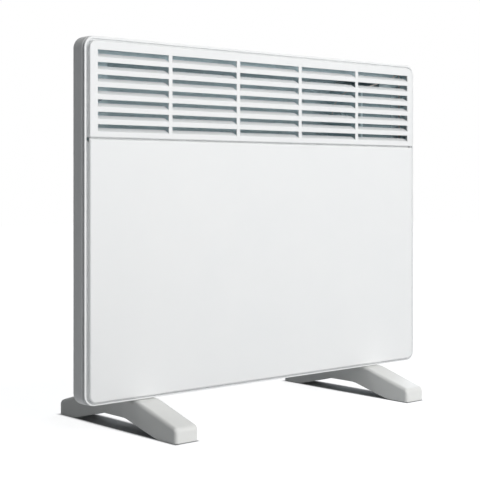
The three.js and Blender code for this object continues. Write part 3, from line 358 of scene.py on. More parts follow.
rim_frame = swept("rim_frame", casing_outline, rim_section, closed=True, at_bottom=slim_bottom)
bar_reach = CASING_WIDTH / 2 - LEDGE_INSET + 1
seam = (SEAM_BOTTOM + SEAM_TOP) / 2
crossbar = block("crossbar", (-bar_reach, bar_reach), (GROOVE_DEPTH, ledge_back),
                 (seam - CROSSBAR_REACH, seam + CROSSBAR_REACH))
worked(rim_frame, "UNION", crossbar)

# A small square relief hole in the ledge at each end of the seam, behind the lower panel's notched corner.
RELIEF_HOLE = 1.9
RELIEF_HOLE_INSET = 7.6
for side in (-1, 1):
    middle = side * (CASING_WIDTH / 2 - RELIEF_HOLE_INSET)
    hole = block("relief_hole", (middle - RELIEF_HOLE, middle + RELIEF_HOLE),
                 (GROOVE_DEPTH - 1, ledge_back + 1), (SEAM_BOTTOM - 2, SEAM_TOP))
    worked(rim_frame, "DIFFERENCE", hole)
finished(rim_frame, powder_coat, "heater", ["front_frame"])


# ---- Front panel ---------------------------------------------------------------------------------
# The plain lower panel: one shallow steel pressing with a soft rounded edge, set into the frame so that
# the groove runs round it. Its upper corners are relieved where the sheet was notched for bending.

PANEL_INSET = 6.3
PANEL_CORNER = 9.5
PANEL_BOTTOM = 3.7
PANEL_FACE = -2.9
PANEL_EDGE = 2.4
SEAM_CORNER = 1.2
RELIEF = 3.4
RELIEF_DEPTH = 1.9


def pressed_pan(name, bottom, top, low_radius, high_radius, edge):
    """A shallow pan with a flat face, a rounded edge and a wall that stops just above the ledge."""
    outline = (CASING_WIDTH - 2 * PANEL_INSET, bottom, top, low_radius, high_radius, 14)
    wall_end = GROOVE_DEPTH - GAP
    section = (arc(edge, PANEL_FACE + edge, edge, 270, 180, 8)
               + [(0, wall_end), (SHEET, wall_end)]
               + arc(edge, PANEL_FACE + edge, edge - SHEET, 180, 270, 3))
    return swept(name, outline, section)


plain_panel = pressed_pan("plain_panel", PANEL_BOTTOM, SEAM_BOTTOM, PANEL_CORNER, SEAM_CORNER, PANEL_EDGE)
panel_edge = CASING_WIDTH / 2 - PANEL_INSET
for side in (-1, 1):
    notch = block("notch", (side * panel_edge - RELIEF, side * panel_edge + RELIEF),
                  (PANEL_FACE + RELIEF_DEPTH, GROOVE_DEPTH), (SEAM_BOTTOM - RELIEF, SEAM_BOTTOM + 1))
    worked(plain_panel, "DIFFERENCE", notch)
finished(plain_panel, powder_coat, "heater", ["front_panel"], turn=50)


# ---- Outlet grille -------------------------------------------------------------------------------
# The louvred strip along the top. Each slot is lanced out of the same sheet and the freed tongue is
# bent inwards and up over its lower lip, as wide as its slot, so that warm air leaves towards the room
# and nothing falls in. Thirty-five slots stand in a grid of five by seven.

GRILLE_EDGE = 1.6
COLUMNS = 5
ROWS = 7
SLOT_WIDTH = 107.3
SLOT_HEIGHT = 9
PILLAR = 5.7
ROW_PITCH = 14.95
SLOT_MARGIN = 16.7
FIRST_SLOT_TOP = CASING_HEIGHT - SLOT_MARGIN
BLADE_TILT = 32
BLADE_LENGTH = 8
BLADE_SHEET = 1.1
BLADE_BEND = 1.6
BLADE_CORNER = 2
BLADE_RELIEF = 0.12
LIP_DROP = 0.6
PANEL_TOP_INSET = 5.5
PANEL_TOP = CASING_HEIGHT - PANEL_TOP_INSET


def blade():
    """One blade, at the first column and the lowest row, drawn in place: full width, round at its tip."""
    lip = FIRST_SLOT_TOP - (ROWS - 1) * ROW_PITCH - SLOT_HEIGHT
    bend_top = lip - LIP_DROP
    centre = PANEL_FACE + BLADE_BEND
    lean = 90 + BLADE_TILT
    rise = (math.cos(math.radians(BLADE_TILT)), math.sin(math.radians(BLADE_TILT)))
    outer = arc(centre, bend_top, BLADE_BEND, 180, lean, 6)
    inner = arc(centre, bend_top, BLADE_BEND - BLADE_SHEET, 180, lean, 6)
    half = SLOT_WIDTH / 2 - BLADE_RELIEF
    halves = [half] * (len(outer) + 1)
    for i in range(7):
        turn = math.radians(15 * i)
        along = BLADE_LENGTH - BLADE_CORNER * (1 - math.sin(turn))
        halves.append(half - BLADE_CORNER * (1 - math.cos(turn)))
        for path_points in (outer, inner):
            path_points.append((path_points[6][0] + rise[0] * along, path_points[6][1] + rise[1] * along))
    outer.insert(0, (PANEL_FACE, bend_top - 0.5))
    inner.insert(0, (PANEL_FACE + BLADE_SHEET, bend_top - 0.5))
    rings = []
    for wide, (outer_y, outer_z), (inner_y, inner_z) in zip(halves, outer, inner):
        rings.append([place(x + first_column, y, z) for x, y, z in (
            (-wide, outer_y, outer_z), (wide, outer_y, outer_z),
            (wide, inner_y, inner_z), (-wide, inner_y, inner_z))])
    return lofted("blade", rings)


def slot_cutter():
    """The hole of the lowest slot in the first column, with small round corners."""
    top = FIRST_SLOT_TOP - (ROWS - 1) * ROW_PITCH
    ring = rounded(first_column - SLOT_WIDTH / 2, first_column + SLOT_WIDTH / 2,
                   top - SLOT_HEIGHT - LIP_DROP, top, 0.3, 0.6, 3)
    return lofted("slot", [[place(x, y, z) for x, z in ring] for y in (PANEL_FACE - 1, PANEL_FACE + 2)])


def new_tree(name, sockets):
    """A geometry tree with its inputs, given as (name, type), and one geometry output."""
    nodes_tree = bpy.data.node_groups.new(name, "GeometryNodeTree")
    for label, kind in sockets:
        nodes_tree.interface.new_socket(label, in_out="INPUT", socket_type=kind)
    nodes_tree.interface.new_socket("Geometry", in_out="OUTPUT", socket_type="NodeSocketGeometry")
    return nodes_tree


def run_tree(piece, nodes_tree, values):
    """Runs a geometry tree on a piece with these inputs, and keeps the result as a plain mesh."""
    modifier = piece.modifiers.new("nodes", "NODES")
    modifier.node_group = nodes_tree
    for item in nodes_tree.interface.items_tree:
        if item.in_out == "INPUT" and item.name in values:
            modifier[item.identifier] = values[item.name]
    return settled(piece)


def tree_end(nodes_tree, instances, material):
    """Makes the instances real, gives them their material and ends the tree."""
    real = add(nodes_tree, "GeometryNodeRealizeInstances", {0: instances.outputs[0]})
    coated = add(nodes_tree, "GeometryNodeSetMaterial", {"Geometry": real.outputs[0], "Material": material})
    add(nodes_tree, "NodeGroupOutput", {0: coated.outputs[0]})


# Copies a piece across and up from where it stands, at two pitches.
grid_tree = new_tree("rows_and_columns", [
    ("Geometry", "NodeSocketGeometry"), ("Columns", "NodeSocketInt"), ("Rows", "NodeSocketInt"),
    ("Column Pitch", "NodeSocketVector"), ("Row Pitch", "NodeSocketVector"),
    ("Material", "NodeSocketMaterial")])
given = add(grid_tree, "NodeGroupInput").outputs
across = add(grid_tree, "GeometryNodeMeshLine", {"Count": given["Columns"], "Offset": given["Column Pitch"]})
up = add(grid_tree, "GeometryNodeMeshLine", {"Count": given["Rows"], "Offset": given["Row Pitch"]})
lines = add(grid_tree, "GeometryNodeInstanceOnPoints", {"Points": across.outputs[0],
                                                        "Instance": up.outputs[0]})
points = add(grid_tree, "GeometryNodeRealizeInstances", {0: lines.outputs[0]})
copies = add(grid_tree, "GeometryNodeInstanceOnPoints", {"Points": points.outputs[0],
                                                         "Instance": given["Geometry"]})
tree_end(grid_tree, copies, given["Material"])

column_pitch = SLOT_WIDTH + PILLAR
first_column = -(COLUMNS - 1) / 2 * column_pitch
louvre_grid = {"Columns": COLUMNS, "Rows": ROWS, "Column Pitch": (column_pitch * MM, 0, 0),
               "Row Pitch": (0, 0, ROW_PITCH * MM), "Material": powder_coat}
louvred_strip = pressed_pan("louvred_strip", SEAM_TOP, PANEL_TOP, SEAM_CORNER, PANEL_CORNER, GRILLE_EDGE)
worked(louvred_strip, "DIFFERENCE", run_tree(slot_cutter(), grid_tree, louvre_grid))
worked(louvred_strip, "UNION", run_tree(blade(), grid_tree, louvre_grid))
finished(louvred_strip, powder_coat, "heater", ["outlet_grille"], turn=50)


# ---- Rear tray -----------------------------------------------------------------------------------
# The outer shell behind the rim, 25 mm deep: one steel tray with a rolled front edge and a big window in
# its back, powder coated like the front. The rear box closes the window from behind.

TRAY_FRONT = 4.2
TRAY_BACK = 25.1
TRAY_HEM = 2.2
TRAY_EDGE = 3
WINDOW_HALF_WIDTH = 247
WINDOW_BOTTOM = 14
WINDOW_TOP = 421
SCREW_HOLE = 2
SCREW_ENDS = 258.5
SCREW_HEIGHTS = (60, 215, 370)
TOP_SCREW = (120, 436)
FOOT_SCREW_HOLE = 1.95
FOOT_SCREW_DEPTHS = (14.5, 65)
foot_centre = (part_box("foot_right")[0].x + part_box("foot_right")[1].x) / 2 / MM


def turned(name, profile, sides, put):
    """A turned solid: profile is (distance along the axis, radius), and put places (along, u, v)."""
    angles = [2 * math.pi * i / sides for i in range(sides)]
    return lofted(name, [[put(along, radius * math.cos(a), radius * math.sin(a)) for a in angles]
                         for along, radius in profile])


def drilled(piece, radius, span, put, sides=20):
    """Drills one round hole; put places (along, u, v) with the hole's axis at u = v = 0."""
    return worked(piece, "DIFFERENCE", turned("drill", [(span[0], radius), (span[1], radius)], sides, put))


tray_flat = TRAY_BACK - TRAY_EDGE
hem_centre = TRAY_FRONT + TRAY_HEM
tray_section = (arc(TRAY_EDGE, tray_flat, TRAY_EDGE, 90, 180, 8)
                + arc(TRAY_HEM, hem_centre, TRAY_HEM, 180, 270, 7)
                + [(3, TRAY_FRONT), (3, TRAY_FRONT + SHEET)]
                + arc(TRAY_HEM, hem_centre, TRAY_HEM - SHEET, 270, 180, 4)
                + arc(TRAY_EDGE, tray_flat, TRAY_EDGE - SHEET, 180, 90, 5))
tray = swept("rear_shell", casing_outline, tray_section)
window_ring = rounded(-WINDOW_HALF_WIDTH, WINDOW_HALF_WIDTH, WINDOW_BOTTOM, WINDOW_TOP, 6, 6, 6)
window = lofted("window", [[place(x, y, z) for x, z in window_ring] for y in (tray_flat, TRAY_BACK + 1)])
worked(tray, "DIFFERENCE", window)
screw_places = [(side * SCREW_ENDS, z) for side in (-1, 1) for z in SCREW_HEIGHTS]
screw_places += [(side * TOP_SCREW[0], TOP_SCREW[1]) for side in (-1, 1)]


def screw_holes(shell, span, foot_screw_depth):
    """Drills the tray or the rear box for the back screws and for its pair of foot screws."""
    for x, z in screw_places:
        drilled(shell, SCREW_HOLE, span, lambda y, u, v: place(x + u, y, z + v))
    for side in (-1, 1):
        drilled(shell, FOOT_SCREW_HOLE, (-2, 4),
                lambda z, u, v: place(side * foot_centre + u, foot_screw_depth + v, z))


screw_holes(tray, (tray_flat, TRAY_BACK + 1), FOOT_SCREW_DEPTHS[0])
finished(tray, powder_coat, "heater", ["rear_tray"])


# ---- Rear box ------------------------------------------------------------------------------------
# The deeper box behind the tray that holds the heating chamber: drawn steel with a screwed flange, a
# pressed field in its back, rows of inlet slots underneath and four keyholes to hang it by.

BOX_WIDTH = 505
BOX_TOP = 430
BOX_CORNER = 8
BOX_EDGE = 6
BOX_FLANGE = 12
BOX_FRONT = TRAY_BACK + GAP
CASING_DEPTH = (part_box("rear_box")[1].y - rim_low.y) / MM
FIELD_INSET = 36
FIELD_DROP = 2.4
FIELD_CORNER = 14
INLET_COLUMNS = 12
INLET_PITCH = 29
INLET_LENGTH = 23
INLET_WIDTH = 8
INLET_DEPTHS = (42, 58)
KEYHOLE_SPACING = 300
KEYHOLE_HEIGHTS = (95, 305)
KEYHOLE_RADIUS = 5.5
KEYHOLE_NECK = 5.6
KEYHOLE_RISE = 12
WALL_X = BOX_WIDTH / 2
CONTROL_DEPTH = 53.5
KNOB_Z = 300
NECK_HOLE = 5.2
SWITCH_HEIGHTS = {"upper": 242, "lower": 204}
SWITCH_BODY = (12.8, 18.8)
BUSH_DEPTH = 58
BUSH_Z = 40
BUSH_RADIUS = 6

flange_back = BOX_FRONT + SHEET
box_bend = CASING_DEPTH - BOX_EDGE
box_section = ([(FIELD_INSET + 5, CASING_DEPTH - FIELD_DROP, FIELD_CORNER - 3),
                (FIELD_INSET + 3.6, CASING_DEPTH - FIELD_DROP + 0.35, FIELD_CORNER - 2),
                (FIELD_INSET + 1.4, CASING_DEPTH - 0.35, FIELD_CORNER - 1),
                (FIELD_INSET, CASING_DEPTH, FIELD_CORNER)]
               + arc(BOX_EDGE, box_bend, BOX_EDGE, 90, 180, 10)
               + [(0, flange_back + 1.4), (-1.4, flange_back), (-BOX_FLANGE, flange_back),
                  (-BOX_FLANGE, BOX_FRONT), (-0.4, BOX_FRONT), (SHEET, flange_back + 0.4)]
               + arc(BOX_EDGE, box_bend, BOX_EDGE - SHEET, 180, 90, 6)
               + [(FIELD_INSET - 0.4, CASING_DEPTH - SHEET, FIELD_CORNER),
                  (FIELD_INSET + 4.6, CASING_DEPTH - SHEET - FIELD_DROP, FIELD_CORNER - 3)])
box_outline = (BOX_WIDTH, 0, BOX_TOP, BOX_CORNER, BOX_CORNER, 10)
box = swept("rear_housing", box_outline, box_section)
worked(box, "DIFFERENCE", block("underside", (-BOX_WIDTH, BOX_WIDTH), (BOX_FRONT - 1, flange_back + 1.5),
                                (-BOX_FLANGE - 1, 0)))


def long_hole(u, v, length, width, steps=8):
    """A slot with round ends, as points."""
    reach = (length - width) / 2
    return arc(u + reach, v, width / 2, -90, 90, steps) + arc(u - reach, v, width / 2, 90, 270, steps)


inlet_ring = long_hole(-(INLET_COLUMNS - 1) / 2 * INLET_PITCH, INLET_DEPTHS[0], INLET_LENGTH, INLET_WIDTH)
inlet = lofted("inlet", [[place(x, y, z) for x, y in inlet_ring] for z in (-1, SHEET + 1)])
worked(box, "DIFFERENCE", run_tree(inlet, grid_tree, {
    "Columns": INLET_COLUMNS, "Rows": len(INLET_DEPTHS), "Column Pitch": (INLET_PITCH * MM, 0, 0),
    "Row Pitch": (0, (INLET_DEPTHS[1] - INLET_DEPTHS[0]) * MM, 0), "Material": powder_coat}))

half_neck = KEYHOLE_NECK / 2
neck_angle = math.degrees(math.asin(half_neck / KEYHOLE_RADIUS))
keyhole_x, keyhole_z = -KEYHOLE_SPACING / 2, KEYHOLE_HEIGHTS[0]
keyhole_ring = (arc(keyhole_z, keyhole_x, KEYHOLE_RADIUS, neck_angle, 360 - neck_angle, 24)
                + arc(keyhole_z + KEYHOLE_RISE, keyhole_x, half_neck, -90, 90, 8))
keyhole = lofted("keyhole", [[place(x, y, z) for z, x in keyhole_ring]
                             for y in (CASING_DEPTH - 8, CASING_DEPTH + 1)])
worked(box, "DIFFERENCE", run_tree(keyhole, grid_tree, {
    "Columns": 2, "Rows": 2, "Column Pitch": (KEYHOLE_SPACING * MM, 0, 0),
    "Row Pitch": (0, 0, (KEYHOLE_HEIGHTS[1] - KEYHOLE_HEIGHTS[0]) * MM), "Material": powder_coat}))

screw_holes(box, (BOX_FRONT - 1, flange_back + 1), FOOT_SCREW_DEPTHS[1])


def about_x(depth, height):
    """Places (x, u, v) about an axis through the end wall."""
    return lambda x, u, v: place(x, depth + u, height + v)


def control_block(name, size, margin, x_span, height):
    """A block about a switch, with a margin all round its width and height."""
    width, tall = size[0] / 2 + margin, size[1] / 2 + margin
    return block(name, x_span, (CONTROL_DEPTH - width, CONTROL_DEPTH + width), (height - tall, height + tall))


wall_span = (WALL_X - 4, WALL_X + 4)
drilled(box, NECK_HOLE, wall_span, about_x(CONTROL_DEPTH, KNOB_Z))
drilled(box, BUSH_RADIUS + GAP, wall_span, about_x(BUSH_DEPTH, BUSH_Z))
for height in SWITCH_HEIGHTS.values():
    worked(box, "DIFFERENCE", control_block("cutter", SWITCH_BODY, GAP, wall_span, height))
finished(box, powder_coat, "heater", ["rear_box"])


# ---- Back screws ---------------------------------------------------------------------------------
# Eight pan-head tapping screws with cross recesses hold the rear box's flange to the tray. Steel with a
# bright zinc plating, which gives them a cool silver shine, broken by fine turning marks.

# Head radius, head height, shank radius and length, as for the foot screws.
BACK_SCREW = (3.6, 2, 1.6, 8.5)
PLATING_GRAIN = 0.35 * MM

zinc_plate, tree, where = new_material("bright_zinc_plated_steel")
grain = add(tree, "ShaderNodeTexNoise", {"Vector": where, "Scale": 1 / PLATING_GRAIN, "Detail": 2.0})
shine = add(tree, "ShaderNodeMapRange", {"Value": grain.outputs["Fac"], "To Min": 0.22, "To Max": 0.42})
metal = add(tree, "ShaderNodeBsdfPrincipled", {"Base Color": linear("#b9bec4"), "Metallic": 1.0,
                                               "Roughness": shine.outputs[0]})
add(tree, "ShaderNodeOutputMaterial", {"Surface": metal.outputs[0]})


def pan_head_screw(head, height, shank, length):
    """A screw with a cross recess, its seat at the origin and its shank along +Z."""
    def put(along, u, v):
        return (u * MM, v * MM, along * MM)

    dome = [(-height * math.sin(a), head * (0.62 + 0.38 * math.cos(a)))
            for a in (math.radians(90 - 15 * i) for i in range(7))]
    screw = turned("screw", dome + [(0.02, shank), (length - 2, shank * 0.9), (length, 0.3)], 28, put)
    for long, wide in ((0.5 * head, 0.11 * head), (0.11 * head, 0.5 * head)):
        rings = [[put(along, u * share, v * share) for u, v in square((-long, long), (-wide, wide))]
                 for along, share in ((-height - 0.2, 1.0), (-0.25 * height, 0.45))]
        worked(screw, "DIFFERENCE", lofted("recess", rings))
    return screw


# Copies a pattern to each point of a piece, turned alike, with a chance twist about its own axis.
points_tree = new_tree("copies_on_points", [
    ("Geometry", "NodeSocketGeometry"), ("Pattern", "NodeSocketObject"), ("Turn", "NodeSocketRotation"),
    ("Seed", "NodeSocketInt"), ("Material", "NodeSocketMaterial")])
given = add(points_tree, "NodeGroupInput").outputs
pattern = add(points_tree, "GeometryNodeObjectInfo", {"Object": given["Pattern"]})
twist = add(points_tree, "FunctionNodeRandomValue", {"Min": 0.0, "Max": math.pi / 2, "Seed": given["Seed"]},
            data_type="FLOAT")
spin = add(points_tree, "ShaderNodeCombineXYZ", {"Z": twist.outputs["Value"]})
copies = add(points_tree, "GeometryNodeInstanceOnPoints", {
    "Points": given["Geometry"], "Instance": pattern.outputs["Geometry"], "Rotation": given["Turn"]})
twisted = add(points_tree, "GeometryNodeRotateInstances", {0: copies.outputs[0], "Rotation": spin.outputs[0]})
tree_end(points_tree, twisted, given["Material"])


def copied_to(name, spots, copied, turn, seed, material):
    """One piece made of copies of a pattern, which is removed, at these places."""
    mesh = bpy.data.meshes.new(name)
    mesh.from_pydata(spots, [], [])
    piece = bpy.data.objects.new(name, mesh)
    scene.collection.objects.link(piece)
    run_tree(piece, points_tree, {"Pattern": copied, "Turn": turn, "Seed": seed, "Material": material})
    bpy.data.objects.remove(copied)
    return piece


back_screws = copied_to("back_screws", [place(x, flange_back + GAP, z) for x, z in screw_places],
                        pan_head_screw(*BACK_SCREW), (math.pi / 2, 0, 0), 7, zinc_plate)
finished(back_screws, zinc_plate, "heater",
         [f"back_screw_{i + 1}" for i in range(len(screw_places))])


# ---- Inner sheets --------------------------------------------------------------------------------
# Four folded sheets behind the front: a shield that keeps the front cool, a curved sheet that turns the
# warm air forwards, the wall of the control compartment and its cover, of phosphated zinc-coated steel.

THIN_SHEET = 0.8
PARTITION_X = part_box("control_partition")[0].x / MM
DEFLECTOR_LOW = 392
DEFLECTOR_LIP = 8
DEFLECTOR_SKIRT = 12

# Hot-dipped zinc on steel, phosphated: a matt, pale blue-grey skin of fine salt crystals, under which the
# zinc's own crystals, some 9 mm across, still show as a faint change of tone.
SPANGLE = 9 * MM

zinc_sheet, tree, where = new_material("phosphated_zinc_coated_steel")
crystals = add(tree, "ShaderNodeTexVoronoi", {"Vector": where, "Scale": 1 / SPANGLE})
split = add(tree, "ShaderNodeSeparateColor", {"Color": crystals.outputs["Color"]})
shade = add(tree, "ShaderNodeMix", {"Factor": split.outputs["Red"], "A": linear("#d6ebf1"),
                                    "B": linear("#dff1f6")}, data_type="RGBA")
dull = add(tree, "ShaderNodeMapRange", {"Value": split.outputs["Green"], "To Min": 0.5, "To Max": 0.62})
phosphate = add(tree, "ShaderNodeBsdfPrincipled", {"Base Color": shade.outputs["Result"], "IOR": 1.5,
                                                   "Roughness": dull.outputs[0]})
add(tree, "ShaderNodeOutputMaterial", {"Surface": phosphate.outputs[0]})

# The tray and the rear box are sprayed from the outside only, so that they are bare inside as well. A face
# lies inside when it looks towards the casing's middle and not to the rear.
for shell, front, back in ((tray, TRAY_FRONT, TRAY_BACK), (box, BOX_FRONT, CASING_DEPTH)):
    shell.data.materials.append(zinc_sheet)
    middle = Vector(place(0, (front + back) / 2, CASING_HEIGHT / 2))
    for face in shell.data.polygons:
        if face.normal.dot(middle - face.center) > 0 and face.normal.y < 0.05:
            face.material_index = 1


def dressed(node, material):
    """Gives a node of the frame its finish."""
    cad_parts[node].data.materials.clear()
    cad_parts[node].data.materials.append(material)


for node in ("heat_shield", "control_partition"):
    dressed(node, zinc_sheet)

# The cover of the control compartment: the same matt skin in a darker blue-grey, as painted shade, so that
# the compartment behind the grille's right end reads as shaded.
SHADE_TONE_CLOUD = 14 * MM

painted_shade_zinc, tree, where = new_material("phosphated_steel_painted_shade")
drift = add(tree, "ShaderNodeTexNoise", {"Vector": where, "Scale": 1 / SHADE_TONE_CLOUD, "Detail": 3.0})
shade = add(tree, "ShaderNodeMix", {"Factor": drift.outputs["Fac"], "A": linear("#8fa5ad"),
                                    "B": linear("#9fb3ba")}, data_type="RGBA")
dull = add(tree, "ShaderNodeMapRange", {"Value": drift.outputs["Fac"], "To Min": 0.5, "To Max": 0.62})
phosphate = add(tree, "ShaderNodeBsdfPrincipled", {"Base Color": shade.outputs["Result"], "IOR": 1.5,
                                                   "Roughness": dull.outputs[0]})
add(tree, "ShaderNodeOutputMaterial", {"Surface": phosphate.outputs[0]})
dressed("control_cover", painted_shade_zinc)


def bent_sheet(path_points, thickness):
    """The outline of a bent sheet: a path with the sheet's thickness on its left-hand side."""
    normals = []
    for (u, v), (next_u, next_v) in zip(path_points, path_points[1:]):
        length = math.hypot(next_u - u, next_v - v)
        normals.append((-(next_v - v) / length, (next_u - u) / length))
    offset = []
    for i, (u, v) in enumerate(path_points):
        before, after = normals[max(i - 1, 0)], normals[min(i, len(normals) - 1)]
        scale = thickness / (1 + before[0] * after[0] + before[1] * after[1])
        offset.append((u + (before[0] + after[0]) * scale, v + (before[1] + after[1]) * scale))
    return list(path_points) + offset[::-1]


deflector_top = BOX_TOP - SHEET - GAP - THIN_SHEET
deflector_back = CASING_DEPTH - SHEET - FIELD_DROP - GAP - THIN_SHEET
deflector_front = TRAY_BACK + 2
bend_start = deflector_front + DEFLECTOR_LIP
bend = [(bend_start + (deflector_back - bend_start) * math.cos(math.pi * i / 48),
         DEFLECTOR_LOW + (deflector_top - DEFLECTOR_LOW) * math.sin(math.pi * i / 48)) for i in range(25)]
deflector_path = ([(deflector_front, deflector_top)] + bend[::-1]
                  + [(deflector_back, DEFLECTOR_LOW - DEFLECTOR_SKIRT)])
deflector_ring = bent_sheet(deflector_path, THIN_SHEET)
deflector = lofted("curved_deflector", [[place(x, y, z) for y, z in deflector_ring]
                                        for x in (BOX_CORNER - WALL_X, PARTITION_X - GAP)])
finished(deflector, zinc_sheet, "heater", ["air_deflector"])


# ---- Heating element -----------------------------------------------------------------------------
# An extruded aluminium star with ribbed arms, whose core holds the heating wire in packed mineral. Two
# steel brackets carry it by ceramic bushes, and a snap-action cut-out guards it from above.

DIE_LINES = 1.1 * MM
DIE_LINE_DEPTH = 0.01 * MM
CERAMIC_GRAIN = 0.8 * MM
GLOSS_SPREAD = 0.06

# Aluminium straight from the press: dull silver with fine lines along the extrusion.
element_metal, tree, where = new_material("extruded_aluminium")
along = add(tree, "ShaderNodeMapping", {"Vector": where, "Scale": (0.01, 1, 1)})
lines = add(tree, "ShaderNodeTexNoise", {"Vector": along.outputs[0], "Scale": 1 / DIE_LINES, "Detail": 3.0})
score = add(tree, "ShaderNodeBump", {"Height": lines.outputs["Fac"], "Distance": DIE_LINE_DEPTH})
matt = add(tree, "ShaderNodeMapRange", {"Value": lines.outputs["Fac"], "To Min": 0.34, "To Max": 0.52})
metal = add(tree, "ShaderNodeBsdfPrincipled", {"Base Color": linear("#c9ccce"), "Metallic": 1.0,
                                               "Roughness": matt.outputs[0], "Normal": score.outputs[0]})
add(tree, "ShaderNodeOutputMaterial", {"Surface": metal.outputs[0]})


def grained(name, light, dark, roughness, grain, relief):
    """A matt or satin body colour with a moulded or fired grain; grain and relief are in metres."""
    material, tree, where = new_material(name)
    fine = add(tree, "ShaderNodeTexNoise", {"Vector": where, "Scale": 1 / grain, "Detail": 3.0})
    broad = add(tree, "ShaderNodeTexNoise", {"Vector": where, "Scale": 0.03 / grain, "Detail": 2.0})
    raised = add(tree, "ShaderNodeBump", {"Height": fine.outputs["Fac"], "Distance": relief})
    colour = add(tree, "ShaderNodeMix", {"Factor": broad.outputs["Fac"], "A": linear(light),
                                         "B": linear(dark)}, data_type="RGBA")
    gloss = add(tree, "ShaderNodeMapRange", {
        "Value": fine.outputs["Fac"], "To Min": roughness - GLOSS_SPREAD,
        "To Max": roughness + GLOSS_SPREAD})
    body = add(tree, "ShaderNodeBsdfPrincipled", {
        "Base Color": colour.outputs["Result"], "Roughness": gloss.outputs[0], "IOR": 1.5,
        "Normal": raised.outputs[0]})
    add(tree, "ShaderNodeOutputMaterial", {"Surface": body.outputs[0]})
    return material


# Steatite: a warm white, dead matt, with the fine tooth of unglazed ceramic.
steatite = grained("unglazed_steatite", "#ece7dc", "#ded7c8", 0.7, CERAMIC_GRAIN, 0.02 * MM)
# Phenolic and nylon mouldings: near black, satin, faintly uneven where the mould was etched.
black_moulding = grained("black_moulded_nylon", "#242528", "#1b1c1e", 0.42, 0.5 * MM, 0.008 * MM)

dressed("heating_element", element_metal)
dressed("thermal_cutout", zinc_sheet)
for end in ("left", "right"):
    dressed(f"element_bracket_{end}", zinc_sheet)
    dressed(f"element_insulator_{end}", steatite)
    dressed(f"element_pin_{end}", zinc_plate)


# ---- Control plate -------------------------------------------------------------------------------
# A white ABS plate on the outside of the right-hand wall, moulded with a soft edge and printed with a
# ring of marks for the thermostat. It has windows for both switches and a hole for the thermostat's neck.

CONTROL_WIDTH = 45
CONTROL_BOTTOM = 168
CONTROL_TOP = 332
CONTROL_THICKNESS = 2.5
CONTROL_CORNER = 8
MARKS = 11
MARK_SWEEP = 270
MARK_RADII = (19.3, 21.4)
MARK_HALF_WIDTH = 0.3
PRINT = 0.06

# White ABS from a finely sparked mould: satin, very slightly warm.
white_abs = grained("white_moulded_abs", "#eaebe9", "#e4e5e3", 0.38, 0.45 * MM, 0.006 * MM)
grey_print = grained("grey_pad_print", "#54585b", "#4c5053", 0.5, 0.4 * MM, 0.002 * MM)


def wall_plate(name, centre, size, radius, section, steps=8):
    """A rounded plate against the end wall: section is (x, inset) points from the wall outwards."""
    depth, height = centre
    rings = []
    for x, inset in section:
        corner = max(radius - inset, 0.1)
        ring = rounded(depth - size[0] / 2 + inset, depth + size[0] / 2 - inset,
                       height - size[1] / 2 + inset, height + size[1] / 2 - inset, corner, corner, steps)
        rings.append([place(x, y, z) for y, z in ring])
    return lofted(name, rings)


plate_inner = WALL_X + GAP
plate_face = plate_inner + CONTROL_THICKNESS
plate_middle = (CONTROL_BOTTOM + CONTROL_TOP) / 2
soft_edge = [(plate_face - 1 + math.sin(math.radians(15 * i)), 1 - math.cos(math.radians(15 * i)))
             for i in range(7)]
control_face = wall_plate(
    "control_face", (CONTROL_DEPTH, plate_middle), (CONTROL_WIDTH, CONTROL_TOP - CONTROL_BOTTOM),
    CONTROL_CORNER, [(plate_inner, 0.3), (plate_inner + 0.3, 0)] + soft_edge)
drilled(control_face, NECK_HOLE, (plate_inner - 1, plate_face + 1), about_x(CONTROL_DEPTH, KNOB_Z), 40)
for height in SWITCH_HEIGHTS.values():
    worked(control_face, "DIFFERENCE",
           control_block("window", SWITCH_BODY, GAP, (plate_inner - 1, plate_face + 1), height))
finished(control_face, white_abs, "heater", ["control_plate"])


def dial_mark():
    """The middle mark of the dial's ring, straight above the shaft, drawn about the shaft's axis."""
    ring = square((-MARK_HALF_WIDTH, MARK_HALF_WIDTH), MARK_RADII)
    return lofted("mark", [[(x * MM, y * MM, z * MM) for y, z in ring]
                           for x in (plate_face + 0.01, plate_face + 0.01 + PRINT)])


# Copies a piece round the X axis, over part of a turn about the origin.
ring_tree = new_tree("copies_round_an_axis", [
    ("Geometry", "NodeSocketGeometry"), ("Count", "NodeSocketInt"), ("First", "NodeSocketFloat"),
    ("Step", "NodeSocketFloat"), ("Centre", "NodeSocketVector"), ("Material", "NodeSocketMaterial")])
given = add(ring_tree, "NodeGroupInput").outputs
spots = add(ring_tree, "GeometryNodePoints", {"Count": given["Count"], "Position": given["Centre"]})
number = add(ring_tree, "GeometryNodeInputIndex")
angle = add(ring_tree, "ShaderNodeMath", {0: number.outputs[0], 1: given["Step"], 2: given["First"]},
            operation="MULTIPLY_ADD")
turn = add(ring_tree, "ShaderNodeCombineXYZ", {"X": angle.outputs[0]})
copies = add(ring_tree, "GeometryNodeInstanceOnPoints", {
    "Points": spots.outputs[0], "Instance": given["Geometry"], "Rotation": turn.outputs[0]})
tree_end(ring_tree, copies, given["Material"])


def round_the_shaft(piece, count, sweep, material):
    """Copies a piece, drawn about the thermostat's axis, over a sweep in degrees."""
    step = sweep / (count - 1)
    return run_tree(piece, ring_tree, {
        "Count": count, "First": math.radians(-sweep / 2), "Step": math.radians(step),
        "Centre": place(0, CONTROL_DEPTH, KNOB_Z), "Material": material})


dial_marks = round_the_shaft(dial_mark(), MARKS, MARK_SWEEP, grey_print)
dial_marks.name = "dial_marks"
finished(dial_marks, grey_print, "heater", [])


# ---- Thermostat ----------------------------------------------------------------------------------
# A capillary thermostat behind the wall: a black body, a plated steel shaft with a flat, and a tinned
# tube to the copper bulb in the air inlet. The fluted white ABS knob is pressed on the shaft.

